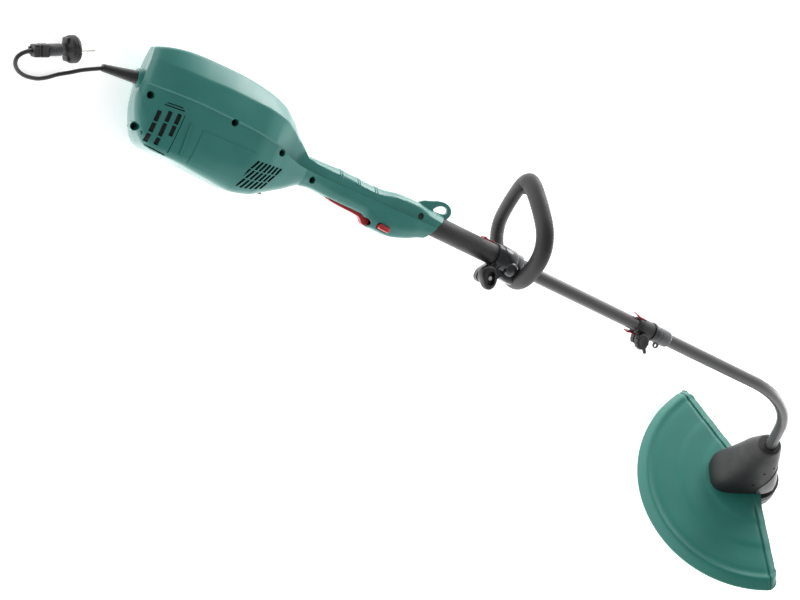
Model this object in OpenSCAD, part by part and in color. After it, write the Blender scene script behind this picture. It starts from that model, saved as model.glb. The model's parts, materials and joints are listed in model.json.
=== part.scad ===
// Electric string trimmer with a curved shaft, lying on its left side.
// The tool's own frame has +X along the shaft towards the head and +Z up in use.
// lay() puts every part down on the floor. low() turns the lower shaft about the
// shaft's axis, and head() stands on the spool's axis with +Z back up to the tube.

/* [Shaft] */
// Outside diameter of the shaft tubes
tube_d = 20; // [18:0.5:24]
// Wall of the shaft tubes
tube_wall = 1.5; // [1:0.1:2.2]
// Outside diameter of the black clamp sleeve behind the loop handle
sleeve_d = 30; // [28:0.5:32]
// Where the clamp sleeve steps down in front of the loop clamp
sleeve_end = -92; // [-94:1:-84]
// Where the upper tube ends inside the coupling
joint_x = 190; // [180:1:210]
// Where the lower tube starts to bend
bend_start = 438; // [400:1:480]
// Radius of the bend at the tube's centre line
bend_r = 229; // [200:1:260]
// Angle of the bend
bend_angle = 50; // [40:1:60]
// Straight tube between the bend and the head
tail_len = 61.5; // [50:0.5:90]
// How far the lower shaft is turned to the left at the coupling
shaft_turn = 56; // [40:1:70]

/* [Motor housing] */
// Wall of the housing and handle shells
shell_wall = 2.5; // [2:0.1:3]
// Height of the motor's axis
motor_z = -34; // [-35:0.5:-33]
// Outside radius of the stator
stator_r = 32.5; // [30:0.5:33]
// Radius of the armature's laminations
armature_r = 18; // [16:0.5:20]
// Radius of the cooling fan
fan_r = 29; // [24:0.5:30]
// Radius of the motor and spool shafts
shaft_r = 4; // [3.5:0.1:5]
// Width of one air slot
slot_w = 4.5; // [3:0.1:5]
// Radius of a housing screw's shank
screw_r = 1.5; // [1.2:0.1:2]
// Radius of a housing screw's head
screw_head_r = 3.4; // [3:0.1:3.6]

/* [Flexible drive] */
// Radius of the flexible drive cable
cable_r = 3; // [2.5:0.1:3.4]
// Outside radius of the cable's liner
liner_r = 5; // [4.6:0.1:5.4]

/* [Loop handle] */
// Rear end of the loop's clamp at rest
loop_x = -138; // [-142:1:-134]
// Radius of the loop's grip
loop_grip_r = 10; // [9:0.5:11]
// Half width of the loop at its widest
loop_half_w = 58; // [52:1:64]
// Height of the loop's top above the shaft's axis
loop_top = 122; // [110:1:130]
// Backward lean of the loop
loop_lean = 20; // [14:1:22]
// Wall of the loop's clamp round the sleeve
clamp_wall = 3; // [2.6:0.1:4]

/* [Coupling] */
// Outside diameter of the coupling collars
collar_d = 27; // [26:0.5:30]
// Length of the upper collar
collar_len = 32; // [28:1:36]
// Length of the lower collar
lower_collar_len = 34; // [30:1:40]
// Radius of the accessory hole in the lower collar's lug
lug_hole_r = 2.6; // [2:0.1:3]

/* [Head and guard] */
// Height of the tube's entry above the guard's rim
head_h = 160; // [150:1:180]
// Radius of the guard's rim
guard_r = 216.5; // [190:0.5:230]
// Radius of the guard's top plate
guard_top_r = 201; // [180:0.5:205]
// Thickness of the guard
guard_t = 2.5; // [2:0.1:3]
// Height of the guard's top plate above its rim
guard_h = 20; // [18:0.5:24]
// First edge of the guard, on the left, measured from straight ahead
guard_from = 121.5; // [110:1:140]
// Angle that the guard covers
guard_sweep = 155.5; // [140:1:165]
// Radius of the spool's housing
spool_r = 45; // [42:0.5:48]
// Radius of the tap button
tap_r = 18; // [14:0.5:22]
// Length of free cutting line from the spool's axis
line_reach = 150; // [120:1:152]
// Radius of the cutting line
line_r = 1.2; // [0.8:0.1:1.5]

/* [Mains lead] */
// Diameter of the mains lead
cord_d = 5.2; // [5:0.1:6]
// Radius of a plug pin
pin_r = 2.4; // [2:0.1:2.5]
// Distance between the plug pins
pin_pitch = 19; // [18:0.1:20]
// Length of the plug pins
pin_len = 19; // [17:0.5:20]
// Radius of the plug's front disc
plug_r = 17.5; // [16:0.5:18]

/* [Hidden] */
$fn = 48;
play = 0.03;          // radial clearance of a running shaft
gap = 0.3;            // clearance between parts that move past each other
cable_play = 0.05;    // radial clearance of the cable in its sockets
liner_play = 0.6;     // clearance between the cable and its liner
hole_play = 0.1;      // clearance of a screw in its hole

green = "#3f8378";
dark_green = "#2f6f64";
black = "#2b2b2d";
grey = "#5b5d60";
red = "#b8383c";
steel = "#b9bcc0";
copper = "#b06a3a";

// Stations of the housing and handle, from the rear forwards:
// x, half width, top, crease, lower corner, bottom, flat share of the top, of the bottom
STATIONS = [
    [-712, 23, 42, 28, -16, -28, 0.55, 0.6],
    [-706, 28, 48, 33, -30, -48, 0.55, 0.6],
    [-694, 33, 51, 35, -46, -65, 0.55, 0.65],
    [-645, 47, 57, 36, -48, -71, 0.5, 0.7],
    [-600, 50, 59, 37, -46, -74, 0.5, 0.6],
    [-560, 50, 57, 36, -40, -76, 0.5, 0.5],
    [-530, 45, 51, 33, -36, -70, 0.5, 0.5],
    [-508, 37, 39, 24, -32, -58, 0.5, 0.5],
    [-490, 29, 24, 14, -26, -46, 0.5, 0.5],
    [-470, 22, 9.5, 1, -20, -33, 0.5, 0.5],
    [-445, 18.5, 10.5, 2, -17, -30, 0.5, 0.5],
    [-413, 17.5, 12, 4, -22, -32, 0.5, 0.55],
    [-365, 17.5, 11.5, 3, -21, -32, 0.5, 0.55],
    [-345, 18, 13, 5, -28, -42, 0.5, 0.5],
    [-318, 20, 18, 8, -26, -43, 0.5, 0.5],
    [-290, 20.5, 20.5, 10, -22, -37, 0.5, 0.5],
    [-262, 20, 21.5, 10, -14, -25, 0.5, 0.6],
    [-244, 18.5, 19.5, 9, -9, -19.5, 0.55, 0.6],
    [-237, 17, 17.5, 8, -8, -17.5, 0.6, 0.6]];
housing_rear = STATIONS[0][0];
nose_cut = -252;
housing_nose = STATIONS[len(STATIONS) - 1][0];
ridge_x = STATIONS[3][0];
ridge_w = STATIONS[3][1];

// Lying pose: the tool rests on the housing's left ridge and on the guard's rim.
tail_all = tail_len + head_h;
hub_x = bend_start + bend_r * sin(bend_angle) + tail_all * cos(bend_angle);
hub_drop = bend_r * (1 - cos(bend_angle)) + tail_all * sin(bend_angle);
hub = [hub_x, hub_drop * sin(shaft_turn), -hub_drop * cos(shaft_turn)];
// A point of the guard's rim in the tool's frame, at an angle from straight ahead
function rim_x(a) = hub.x + guard_r * cos(a) * sin(bend_angle);
function rim_y(a) = hub.y + guard_r * (sin(a) * cos(shaft_turn)
    - cos(a) * cos(bend_angle) * sin(shaft_turn));
lie_tilt = max([for (a = [guard_from : 0.25 : guard_from + guard_sweep])
    atan2(rim_y(a) - ridge_w, rim_x(a) - ridge_x)]);
lift = ridge_w * cos(lie_tilt) - ridge_x * sin(lie_tilt);
rest_shift = [-48.57, 104.48];

module lay() {
    translate([rest_shift.x, rest_shift.y, lift]) rotate([0, -lie_tilt, 0]) rotate([-90, 0, 0])
        children();
}
module low() { rotate([shaft_turn, 0, 0]) children(); }
module head() {
    low() translate([hub_x, 0, -hub_drop]) rotate([0, bend_angle - 90, 0]) children();
}
// A rod or tube along +X, from x0 to x1
module rod(x0, x1, r, bore = 0, z = 0, y = 0) {
    translate([x0, y, z]) rotate([0, 90, 0]) difference() {
        cylinder(r = r, h = x1 - x0);
        if (bore > 0) translate([0, 0, -1]) cylinder(r = bore, h = x1 - x0 + 2);
    }
}
// A pin along Y, from y0 to y1
module cross_pin(x, z, r, y0, y1) {
    translate([x, y1, z]) rotate([90, 0, 0]) cylinder(r = r, h = y1 - y0);
}
module ring(r, bore, z0, z1) {
    translate([0, 0, z0]) difference() {
        cylinder(r = r, h = z1 - z0);
        translate([0, 0, -1]) cylinder(r = bore, h = z1 - z0 + 2);
    }
}

// ---- Housing and handle ----
// Half of a cross-section, from the top of the middle plane round to its bottom
function half_section(s, wall) = let (w = s[1] - wall, zt = s[2] - wall, zb = s[5] + wall,
        zc = min(s[3], zt - 2), zl = max(s[4], zb + 2), mid = zl - 0.7 * (zl - zb))
    [[0, zt], [s[6] * w, zt], [w, zc], [w, zl], [(0.45 + 0.55 * s[7]) * w, mid],
     [s[7] * w, zb], [0, zb]];
// The left half of the housing's solid form, drawn in by a wall
module half_loft(wall) {
    last = len(STATIONS) - 1;
    n = len(half_section(STATIONS[0], wall));
    pts = [for (i = [0 : last]) let (s = STATIONS[i],
            x = s[0] + (i == 0 ? wall : 0) - (i == last ? wall : 0))
        for (p = half_section(s, wall)) [x, p.x, p.y]];
    skin = [for (i = [0 : last - 1]) for (j = [0 : n - 1])
        let (k = (j + 1) % n, a = i * n + j, b = i * n + k)
        each [[a, b, b + n], [a, b + n, a + n]]];
    caps = [[for (j = [n - 1 : -1 : 0]) j], [for (j = [0 : n - 1]) last * n + j]];
    polyhedron(points = pts, faces = concat(skin, caps));
}
// Screws through the halves: x, z, half width at the head
SCREWS = [[-700, -11, 29], [-700, -52, 26], [-597, 1, 50], [-520, -6, 41], [-456, -18, 18.5]];
boss_r = 4;
// Screw into the clamp sleeve, at the front of the handle
sleeve_screw = [-282, 2, 20];
tube_rear = -318;
rib_rear = [-692, -685];
stator_x = [-655, -610];
rib_front = [-572, -565];
bearing_r = 11;
handle_rib = -341;
handle_rib_t = 3;
sleeve_rib = -316;
trigger_x = -408;
trigger_z = -26;
trigger_w = 9;
trigger_pin_r = 2;
spring_y = [trigger_w / 2 + 0.3, trigger_w / 2 + 3];
lock_at = [-330, -33];
lock_r = 4.5;
cord_z = 4;
cord_drop = 10;       // the lead leaves the housing at this angle below the shaft
relief_r = 8.5;
relief_len = 45;
neck_r = 6;           // groove of the strain relief in the housing's rear wall

module plate(x0, x1) { translate([x0, -100, -100]) cube([x1 - x0, 200, 200]); }
module ribs() {
    difference() {
        intersection() {
            half_loft(shell_wall);
            union() {
                plate(rib_rear[0], rib_rear[1]);
                plate(stator_x[0] + 5, stator_x[0] + 9);
                plate(stator_x[1] - 8, stator_x[1] - 4);
                plate(rib_front[0], rib_front[1]);
                plate(handle_rib, handle_rib + handle_rib_t);
                plate(sleeve_rib, sleeve_rib + 4);
                cross_pin(trigger_x, trigger_z, boss_r, spring_y[1], 20);
            }
        }
        rod(rib_rear[0] - 1, rib_rear[1] + 1, bearing_r, z = motor_z);
        rod(stator_x[0], stator_x[1], stator_r, z = motor_z);
        rod(rib_front[0] - 1, rib_front[1] + 1, bearing_r, z = motor_z);
        rod(handle_rib - 1, handle_rib + handle_rib_t + 1, liner_r);
    }
}
module air_slots() {
    for (i = [0 : 3]) for (j = [0 : 2])
        translate([-689 + 9 * i, -60, -61 + 15 * j]) cube([slot_w, 120, 12]);
    for (i = [0 : 6]) for (j = [0 : 2])
        translate([-556 + 7 * i, -60, -62 + 12 * j]) cube([0.75 * slot_w, 120, 10]);
}
module strap_lug() {
    rotate([90, 0, 0]) difference() {
        union() {
            translate([-256, 17]) cylinder(r = 17, h = 6, center = true);
            hull() {
                translate([-252, 20]) cylinder(r = 14, h = 6, center = true, $fn = 32);
                translate([-241, 26]) cylinder(r = 9.5, h = 6, center = true, $fn = 32);
            }
        }
        hull() {
            translate([-252, 22.5]) cylinder(r = 4.5, h = 12, center = true, $fn = 32);
            translate([-242, 26.5]) cylinder(r = 4.5, h = 12, center = true, $fn = 32);
        }
        translate([-300, 0]) rotate([0, 90, 0]) cylinder(r = sleeve_d / 2, h = 100);
    }
}
module cord_path_cut(r, from, to) {
    translate([housing_rear, 0, cord_z]) rotate([0, -90 - cord_drop, 0])
        translate([0, 0, from]) cylinder(r = r, h = to - from);
}
module shell_half() {
    difference() {
        union() {
            difference() { half_loft(0); half_loft(shell_wall); }
            ribs();
            for (s = SCREWS) cross_pin(s.x, s.y, boss_r, 0, s.z - 1.5);
        }
        rod(tube_rear, housing_nose + 5, sleeve_d / 2);
        air_slots();
        cord_path_cut(neck_r, -12, 6);
        // opening for the trigger along the bottom of the grip
        translate([trigger_x - 8, -trigger_w / 2 - gap, -60])
            cube([74, trigger_w + 2 * gap, 60 - 20]);
        translate([nose_cut, 0, 0]) rotate([0, 29, 0]) translate([0, -50, -100]) cube([60, 100, 130]);
    }
}
module lug_half() {
    difference() {
        intersection() {
            strap_lug();
            translate([-300, 0, -50]) cube([100, 50, 100]);
        }
        half_loft(shell_wall);
    }
}
module housing_left() {
    color(green) lay() difference() {
        union() {
            shell_half();
            lug_half();
        }
        for (s = SCREWS) cross_pin(s.x, s.y, screw_r, -1, 14);
        cross_pin(trigger_x, trigger_z, trigger_pin_r, -1, 12);
    }
}
module housing_right() {
    color(green) lay() difference() {
        mirror([0, 1, 0]) {
            shell_half();
            lug_half();
        }
        for (s = SCREWS) {
            cross_pin(s.x, s.y, screw_r + hole_play, -s.z, 1);
            cross_pin(s.x, s.y, screw_head_r + hole_play, -s.z - 5, -s.z + 5);
        }
        cross_pin(trigger_x, trigger_z, trigger_pin_r, -12, 1);
        cross_pin(sleeve_screw.x, sleeve_screw.y, screw_head_r + hole_play, -30, -17);
        cross_pin(sleeve_screw.x, sleeve_screw.y, screw_r + hole_play, -30, -10);
        lock_shape(-30, -5, gap);
    }
}
module one_screw(x, z, y_head, y_tip) {
    difference() {
        union() {
            cross_pin(x, z, screw_head_r, y_head, y_head + 2.6);
            cross_pin(x, z, screw_r, y_head + 1, y_tip);
        }
        cross_pin(x, z, 1.3, y_head - 1, y_head + 1.6, $fn = 6);
    }
}
module housing_screws() {
    color(steel) lay() {
        for (s = SCREWS) one_screw(s.x, s.y, -s.z + 2.4, 12);
        one_screw(sleeve_screw.x, sleeve_screw.y, -19.6, -11);
    }
}
module filter_screens() {
    slope = atan2(STATIONS[3][1] - STATIONS[2][1], STATIONS[3][0] - STATIONS[2][0]);
    color(black) lay() for (m = [0, 1]) mirror([0, m, 0])
        translate([ridge_x, ridge_w - shell_wall - 1.2, 0]) rotate([0, 0, slope])
            translate([-36, -0.4, -46]) cube([30, 0.8, 27]);
}

// ---- Motor ----
module motor_stator() {
    color(grey) lay() difference() {
        rod(stator_x[0], stator_x[1], stator_r, armature_r + 0.8, z = motor_z);
        for (m = [-1, 1]) translate([stator_x[0] - 1, m * 24, motor_z])
            translate([0, -3, -9]) cube([60, 6, 18]);
    }
}
module armature() {
    color(copper) lay() {
        difference() {
            union() {
                rod(stator_x[0], stator_x[1], armature_r, z = motor_z);
                rod(stator_x[0] - 6, stator_x[1] + 9, armature_r - 3, z = motor_z);
            }
            rod(stator_x[0] - 10, stator_x[1] + 12, shaft_r, z = motor_z);
        }
    }
}
module motor_shaft() {
    color(steel) lay() {
        rod(rib_rear[0], -546, shaft_r - play, z = motor_z);
        rod(stator_x[0] - 10, stator_x[1] + 12, shaft_r, z = motor_z);
    }
}
module commutator() {
    color(copper) lay() rod(-681, stator_x[0] - 8, 11, shaft_r - play, z = motor_z);
}
module cooling_fan() {
    color(black) lay() translate([-592, 0, motor_z]) rotate([0, 90, 0]) difference() {
        union() {
            cylinder(r = 9, h = 14);
            cylinder(r = fan_r, h = 2);
            for (i = [0 : 8]) rotate([0, 0, 40 * i]) translate([8, -0.9, 1])
                cube([fan_r - 9, 1.8, 12]);
        }
        translate([0, 0, -1]) cylinder(r = shaft_r - play, h = 20);
    }
}
module rear_bearing() {
    color(steel) lay() rod(rib_rear[0], rib_rear[1], bearing_r, shaft_r, z = motor_z);
}
module front_bearing() {
    color(steel) lay() rod(rib_front[0], rib_front[1], bearing_r, shaft_r, z = motor_z);
}
module brush_holders() {
    color("#8a6b3a") lay() for (m = [-1, 1])
        translate([rib_rear[1], m > 0 ? 11 + gap : -25 - gap, motor_z - 4]) cube([18, 14, 8]);
}
module drive_coupler() {
    color(steel) lay() translate([-558, 0, motor_z]) rotate([0, 90, 0]) difference() {
        cylinder(r = 7, h = 22);
        translate([0, 0, -1]) cylinder(r = shaft_r - play, h = 13);
        translate([0, 0, 11]) cylinder(r = cable_r + cable_play, h = 12);
    }
}
module capacitor() {
    color("#b9a23c") lay()
        translate([stator_x[0] + 9, -10, 12]) cube([stator_x[1] - stator_x[0] - 17, 20, 14]);
}
module switch_block() {
    color(black) lay() translate([handle_rib - 26, -8, -21.5])
        cube([26, 16, 14.5]);
}
module cord_clamp() {
    color(black) lay() difference() {
        translate([-709, -12, -6]) cube([17, 24, 16]);
        cord_path_cut(cord_d / 2, -30, 2);
        cord_path_cut(neck_r, -3, 8);
    }
}

// ---- Flexible drive: an S from the motor's axis up to the shaft's, then straight ----
s_r = 100;
s_angle = acos(1 + motor_z / (2 * s_r));
s_from = -536;
s_to = s_from + 2 * s_r * sin(s_angle);
s_steps = 7;
S_CURVE = concat(
    [for (i = [0 : s_steps]) let (a = s_angle * i / s_steps)
        [s_from + s_r * sin(a), 0, motor_z + s_r * (1 - cos(a))]],
    [for (i = [s_steps - 1 : -1 : 0]) let (a = s_angle * i / s_steps)
        [s_to - s_r * sin(a), 0, -s_r * (1 - cos(a))]]);
// Centre line of the lower shaft from x = from to a length past the bend
bend_steps = 10;
function bent_path(from, tail) = let (end = [bend_start + bend_r * sin(bend_angle), 0,
        -bend_r * (1 - cos(bend_angle))])
    concat([[from, 0, 0]],
        [for (i = [0 : bend_steps]) let (a = bend_angle * i / bend_steps)
            [bend_start + bend_r * sin(a), 0, -bend_r * (1 - cos(a))]],
        [end + tail * [cos(bend_angle), 0, -sin(bend_angle)]]);
function unit(v) = v / norm(v);
// A tube or rod swept along a path, with the side of the path that faces up given
module sweep(path, r, bore = 0, sides = 16, up = [0, 1, 0], closed = false) {
    n = len(path);
    function at(i) = path[closed ? (i + n) % n : min(max(i, 0), n - 1)];
    function tangent(i) = let (a = at(i) - at(i - 1), b = at(i + 1) - at(i))
        unit((norm(a) > 0 ? unit(a) : [0, 0, 0]) + (norm(b) > 0 ? unit(b) : [0, 0, 0]));
    function rim(i, radius) = let (t = tangent(i), side = unit(cross(t, up)), top = cross(side, t))
        [for (k = [0 : sides - 1]) let (b = 360 * k / sides)
            path[i] + radius * (cos(b) * side + sin(b) * top)];
    outer = [for (i = [0 : n - 1]) each rim(i, r)];
    inner = bore > 0 ? [for (i = [0 : n - 1]) each rim(i, bore)] : [];
    rows = closed ? n : n - 1;
    function quad(a, b, c, d) = [[a, b, c], [a, c, d]];
    skin = [for (i = [0 : rows - 1]) for (k = [0 : sides - 1])
        let (m = (k + 1) % sides, j = (i + 1) % n)
        each quad(i * sides + k, i * sides + m, j * sides + m, j * sides + k)];
    s0 = n * sides;
    lining = bore > 0 ? [for (i = [0 : rows - 1]) for (k = [0 : sides - 1])
        let (m = (k + 1) % sides, j = i + 1)
        each quad(s0 + i * sides + m, s0 + i * sides + k, s0 + j * sides + k, s0 + j * sides + m)]
        : [];
    last = (n - 1) * sides;
    caps = closed ? [] : bore > 0 ?
        [for (k = [0 : sides - 1]) let (m = (k + 1) % sides)
            each concat(quad(k, s0 + k, s0 + m, m),
                quad(last + m, s0 + last + m, s0 + last + k, last + k))]
        : [[for (k = [sides - 1 : -1 : 0]) k], [for (k = [0 : sides - 1]) last + k]];
    polyhedron(points = concat(outer, inner), faces = concat(skin, lining, caps));
}
cable_start = -545.5;
ferrule_len = 9;
spacer_grip = 0.4;    // how far a liner's spacer is moulded into the liner
module drive_cable_upper() {
    color(steel) lay() {
        sweep(concat([[cable_start + 3, 0, motor_z]], S_CURVE, [[joint_x - gap / 2, 0, 0]]),
            cable_r - 0.2, sides = 12);
        rod(cable_start, cable_start + ferrule_len, cable_r, z = motor_z);
        rod(joint_x - 20, joint_x - gap / 2, cable_r);
    }
}
module liner_spacers(places, r = tube_d / 2 - tube_wall) {
    for (x = places) rod(x, x + 4, r, liner_r - spacer_grip);
}
module cable_liner_upper() {
    color("white") lay() {
        sweep(concat([for (i = [1 : len(S_CURVE) - 1]) S_CURVE[i]], [[joint_x - 26, 0, 0]]),
            liner_r, cable_r + liner_play, 12);
        liner_spacers([tube_rear + 4, -200, -60, 80, joint_x - 30]);
    }
}
socket_depth = 45;
cable_end_z = 98;
module drive_cable_lower() {
    tail = tail_len + head_h - cable_end_z;
    color(steel) lay() {
        low() sweep(bent_path(joint_x + gap / 2, tail - 3), cable_r - 0.2, sides = 12);
        low() rod(joint_x + gap / 2, joint_x + 20, cable_r);
        head() translate([0, 0, cable_end_z]) cylinder(r = cable_r, h = 14);
    }
}
module cable_liner_lower() {
    color("white") lay() low() {
        sweep(bent_path(joint_x + 4, tail_len + head_h - 116), liner_r, cable_r + liner_play, 12);
        liner_spacers([joint_x + 12, 300, bend_start - 12],
            (tube_d / 2 - tube_wall) * cos(180 / tube_sides) - play);
    }
}

// ---- Shaft ----
module clamp_sleeve() {
    color(black) lay() difference() {
        union() {
            rod(tube_rear, sleeve_end, sleeve_d / 2);
            rod(sleeve_end, sleeve_end + 20, sleeve_d / 2 - 2.5);
        }
        rod(tube_rear - 1, sleeve_end + 21, tube_d / 2);
        cross_pin(sleeve_screw.x, sleeve_screw.y, screw_r, -30, -11);
    }
}
module upper_tube() {
    color(grey) lay() rod(tube_rear, joint_x, tube_d / 2, tube_d / 2 - tube_wall);
}
tube_sides = 24;
module lower_tube() {
    color(grey) lay() low() sweep(bent_path(joint_x + 5, tail_len + socket_depth),
        tube_d / 2, tube_d / 2 - tube_wall, tube_sides);
}

// ---- Trigger and lock-off button ----
bulb_x = -353;
bulb_z = -38;
bulb_r = 7.5;
module trigger() {
    color(red) lay() difference() {
        translate([0, trigger_w / 2, 0]) rotate([90, 0, 0]) linear_extrude(trigger_w) union() {
            hull() {
                translate([trigger_x, trigger_z]) circle(4.5, $fn = 32);
                translate([trigger_x + 2, trigger_z - 4]) circle(3, $fn = 32);
            }
            hull() {
                translate([trigger_x, trigger_z - 4]) circle(3, $fn = 32);
                translate([bulb_x - 2, -31]) circle(3, $fn = 32);
            }
            translate([bulb_x, bulb_z]) circle(bulb_r, $fn = 48);
        }
        cross_pin(trigger_x, trigger_z, trigger_pin_r + play, -10, 10);
    }
}
module trigger_pin() {
    color(steel) lay() cross_pin(trigger_x, trigger_z, trigger_pin_r, -12, 12);
}
module trigger_spring() {
    color(steel) lay() difference() {
        cross_pin(trigger_x, trigger_z, boss_r - 0.7, spring_y[0], spring_y[1] - play);
        cross_pin(trigger_x, trigger_z, trigger_pin_r, 0, 12);
    }
}
module lock_shape(y0, y1, grow) {
    hull() for (x = [-3, 3])
        cross_pin(lock_at.x + x, lock_at.y + x * 0.15, lock_r + grow, y0, y1, $fn = 32);
}
module lock_button() {
    color(red) lay() lock_shape(-20.5, -8.5, 0);
}

// ---- Loop handle and its clamp ----
bush_t = 1;
clamp_r = sleeve_d / 2 + bush_t + clamp_wall;
clamp_len = 46;
bolt_x = loop_x - 2;
ear_z = -(clamp_r + 15);
ear_w = 18;
bolt_r = 3;
loop_bottom = -(clamp_r + loop_grip_r - 6);
module clamp_liner() {
    color(black) lay()
        rod(loop_x, loop_x + clamp_len, sleeve_d / 2 + bush_t, sleeve_d / 2 + play);
}
module loop_clamp() {
    color(black) lay() difference() {
        union() {
            rod(loop_x, loop_x + clamp_len, clamp_r);
            rotate([90, 0, 0]) linear_extrude(ear_w, center = true)
                polygon([[bolt_x + 26, -14], [bolt_x + 4, -14], [bolt_x - 9, ear_z + 5],
                    [bolt_x - 9, ear_z - 6], [bolt_x - 5, ear_z - 9], [bolt_x + 7, ear_z - 9],
                    [bolt_x + 26, -clamp_r]]);
        }
        rod(bolt_x - 12, loop_x + clamp_len + 1, sleeve_d / 2 + bush_t + play);
        translate([bolt_x - 10, -1.5, ear_z - 10]) cube([40, 3, 22]);
        cross_pin(bolt_x, ear_z, bolt_r, -20, 20);
    }
}
// Loop outline: height and half width as shares of the loop's own, from its bottom to its top
LOOP = [[0, 0], [0.035, 0.3], [0.115, 0.56], [0.235, 0.83], [0.36, 0.98], [0.48, 1],
    [0.6, 0.91], [0.735, 0.7], [0.86, 0.46], [0.955, 0.23], [1, 0]];
function loop_share(i) = i < 0 ? [LOOP[-i].x, -LOOP[-i].y]
    : i > 10 ? [LOOP[20 - i].x, -LOOP[20 - i].y] : LOOP[i];
// Point of a smooth curve through the outline, at i + f
function loop_smooth(i, f) = let (a = loop_share(i - 1), b = loop_share(i),
        c = loop_share(i + 1), d = loop_share(i + 2))
    0.5 * (2 * b + (c - a) * f + (2 * a - 5 * b + 4 * c - d) * f * f
        + (3 * b - a - 3 * c + d) * f * f * f);
function loop_point(p, m) = let (h = loop_bottom + p.x * (loop_top - loop_bottom))
    [loop_x + clamp_len - 2 - h * sin(loop_lean), m * p.y * loop_half_w, h * cos(loop_lean)];
module loop_handle() {
    half = concat([for (i = [0 : 9]) each [loop_smooth(i, 0), loop_smooth(i, 0.5)]], [LOOP[10]]);
    path = concat([for (p = half) loop_point(p, 1)],
        [for (i = [len(half) - 2 : -1 : 1]) loop_point(half[i], -1)]);
    color(black) lay() difference() {
        sweep(path, loop_grip_r, sides = 16, up = [cos(loop_lean), 0, sin(loop_lean)], closed = true);
        rod(loop_x - 1, loop_x + clamp_len, clamp_r);
        rod(loop_x, loop_x + 60, sleeve_d / 2 + 2 * gap);
    }
}
module loop_bolt() {
    color(steel) lay() {
        cross_pin(bolt_x, ear_z, bolt_r, -20, ear_w / 2 + 3);
        cross_pin(bolt_x, ear_z, 5.5, ear_w / 2, ear_w / 2 + 3, $fn = 6);
    }
}
module star_knob(r, h, lobes) {
    difference() {
        union() {
            cylinder(r = 0.72 * r, h = h);
            for (i = [0 : lobes - 1]) rotate([0, 0, 360 / lobes * i])
                translate([0.66 * r, 0, 0]) cylinder(r = 0.34 * r, h = h);
        }
        children();
    }
}
module loop_knob() {
    color(black) lay() translate([bolt_x, -ear_w / 2 - gap, ear_z]) rotate([90, 0, 0])
        star_knob(16.5, 13, 3) translate([0, 0, -1]) cylinder(r = bolt_r + play, h = 12);
}
module loop_tab() {
    color(red) lay() difference() {
        union() {
            translate([loop_x - 19, 3, clamp_r - 4]) cube([18.7, 10, 3]);
            translate([loop_x - 22, 3, clamp_r - 4]) cube([3.5, 10, 6]);
        }
        rod(loop_x - 30, loop_x + 10, sleeve_d / 2 + gap);
    }
}

// ---- Coupling ----
collar_from = joint_x - collar_len;
collar_bolt_x = collar_from + 14;
collar_ear_z = -collar_d / 2 - 8;
module upper_collar() {
    color(black) lay() difference() {
        union() {
            rod(collar_from, joint_x, collar_d / 2);
            translate([collar_bolt_x - 8, -8, collar_ear_z - 7]) cube([16, 16, 19]);
        }
        rod(collar_from - 1, joint_x + 1, tube_d / 2);
        translate([collar_from - 1, -1, -40]) cube([collar_len - 5, 2, 40]);
        cross_pin(collar_bolt_x, collar_ear_z, 2.5, -20, 20);
    }
}
module collar_seal() {
    color("#161616") lay() rod(joint_x, joint_x + 4, collar_d / 2 + 1.3, tube_d / 2);
}
module collar_bolt() {
    color(steel) lay() {
        cross_pin(collar_bolt_x, collar_ear_z, 2.5, -16, 11);
        cross_pin(collar_bolt_x, collar_ear_z, 4.5, 8, 11, $fn = 6);
    }
}
module collar_knob() {
    color(black) lay() translate([collar_bolt_x, -8 - gap, collar_ear_z]) rotate([90, 0, 0])
        difference() {
            union() {
                cylinder(r = 10, h = 9);
                translate([-2, -17, 5.6]) cube([4, 12, 3.4]);
            }
            translate([0, 0, -1]) cylinder(r = 2.5 + play, h = 9);
        }
}
clip_r = tube_d / 2 + 1.8;
module release_clip() {
    color(red) lay() {
        rod(collar_from - 9, collar_from - 3, clip_r, tube_d / 2 + play);
        for (m = [-1, 1]) rotate([m * 90 - 62, 0, 0]) translate([collar_from - 20, -4, clip_r - 1])
            cube([17, 8, 2.6]);
    }
}
spigot_r = tube_d / 2 - tube_wall - play;
lower_from = joint_x + 4 + gap;
lug_x = lower_from + 18;
module lower_collar() {
    color(grey) lay() low() difference() {
        union() {
            rod(lower_from, lower_from + lower_collar_len, collar_d / 2 - 0.5);
            rotate([-shaft_turn, 0, 0]) translate([lug_x, 3, -collar_d / 2 - 3]) rotate([90, 0, 0])
                cylinder(r = 6, h = 6);
            rod(joint_x - 20, lower_from + 1, spigot_r);
        }
        rod(joint_x + 5, lower_from + lower_collar_len + 1, tube_d / 2);
        rod(joint_x - 21, joint_x + 6, liner_r + gap);
        rotate([-shaft_turn, 0, 0]) cross_pin(lug_x, -collar_d / 2 - 3, lug_hole_r, -5, 5);
    }
}

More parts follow.
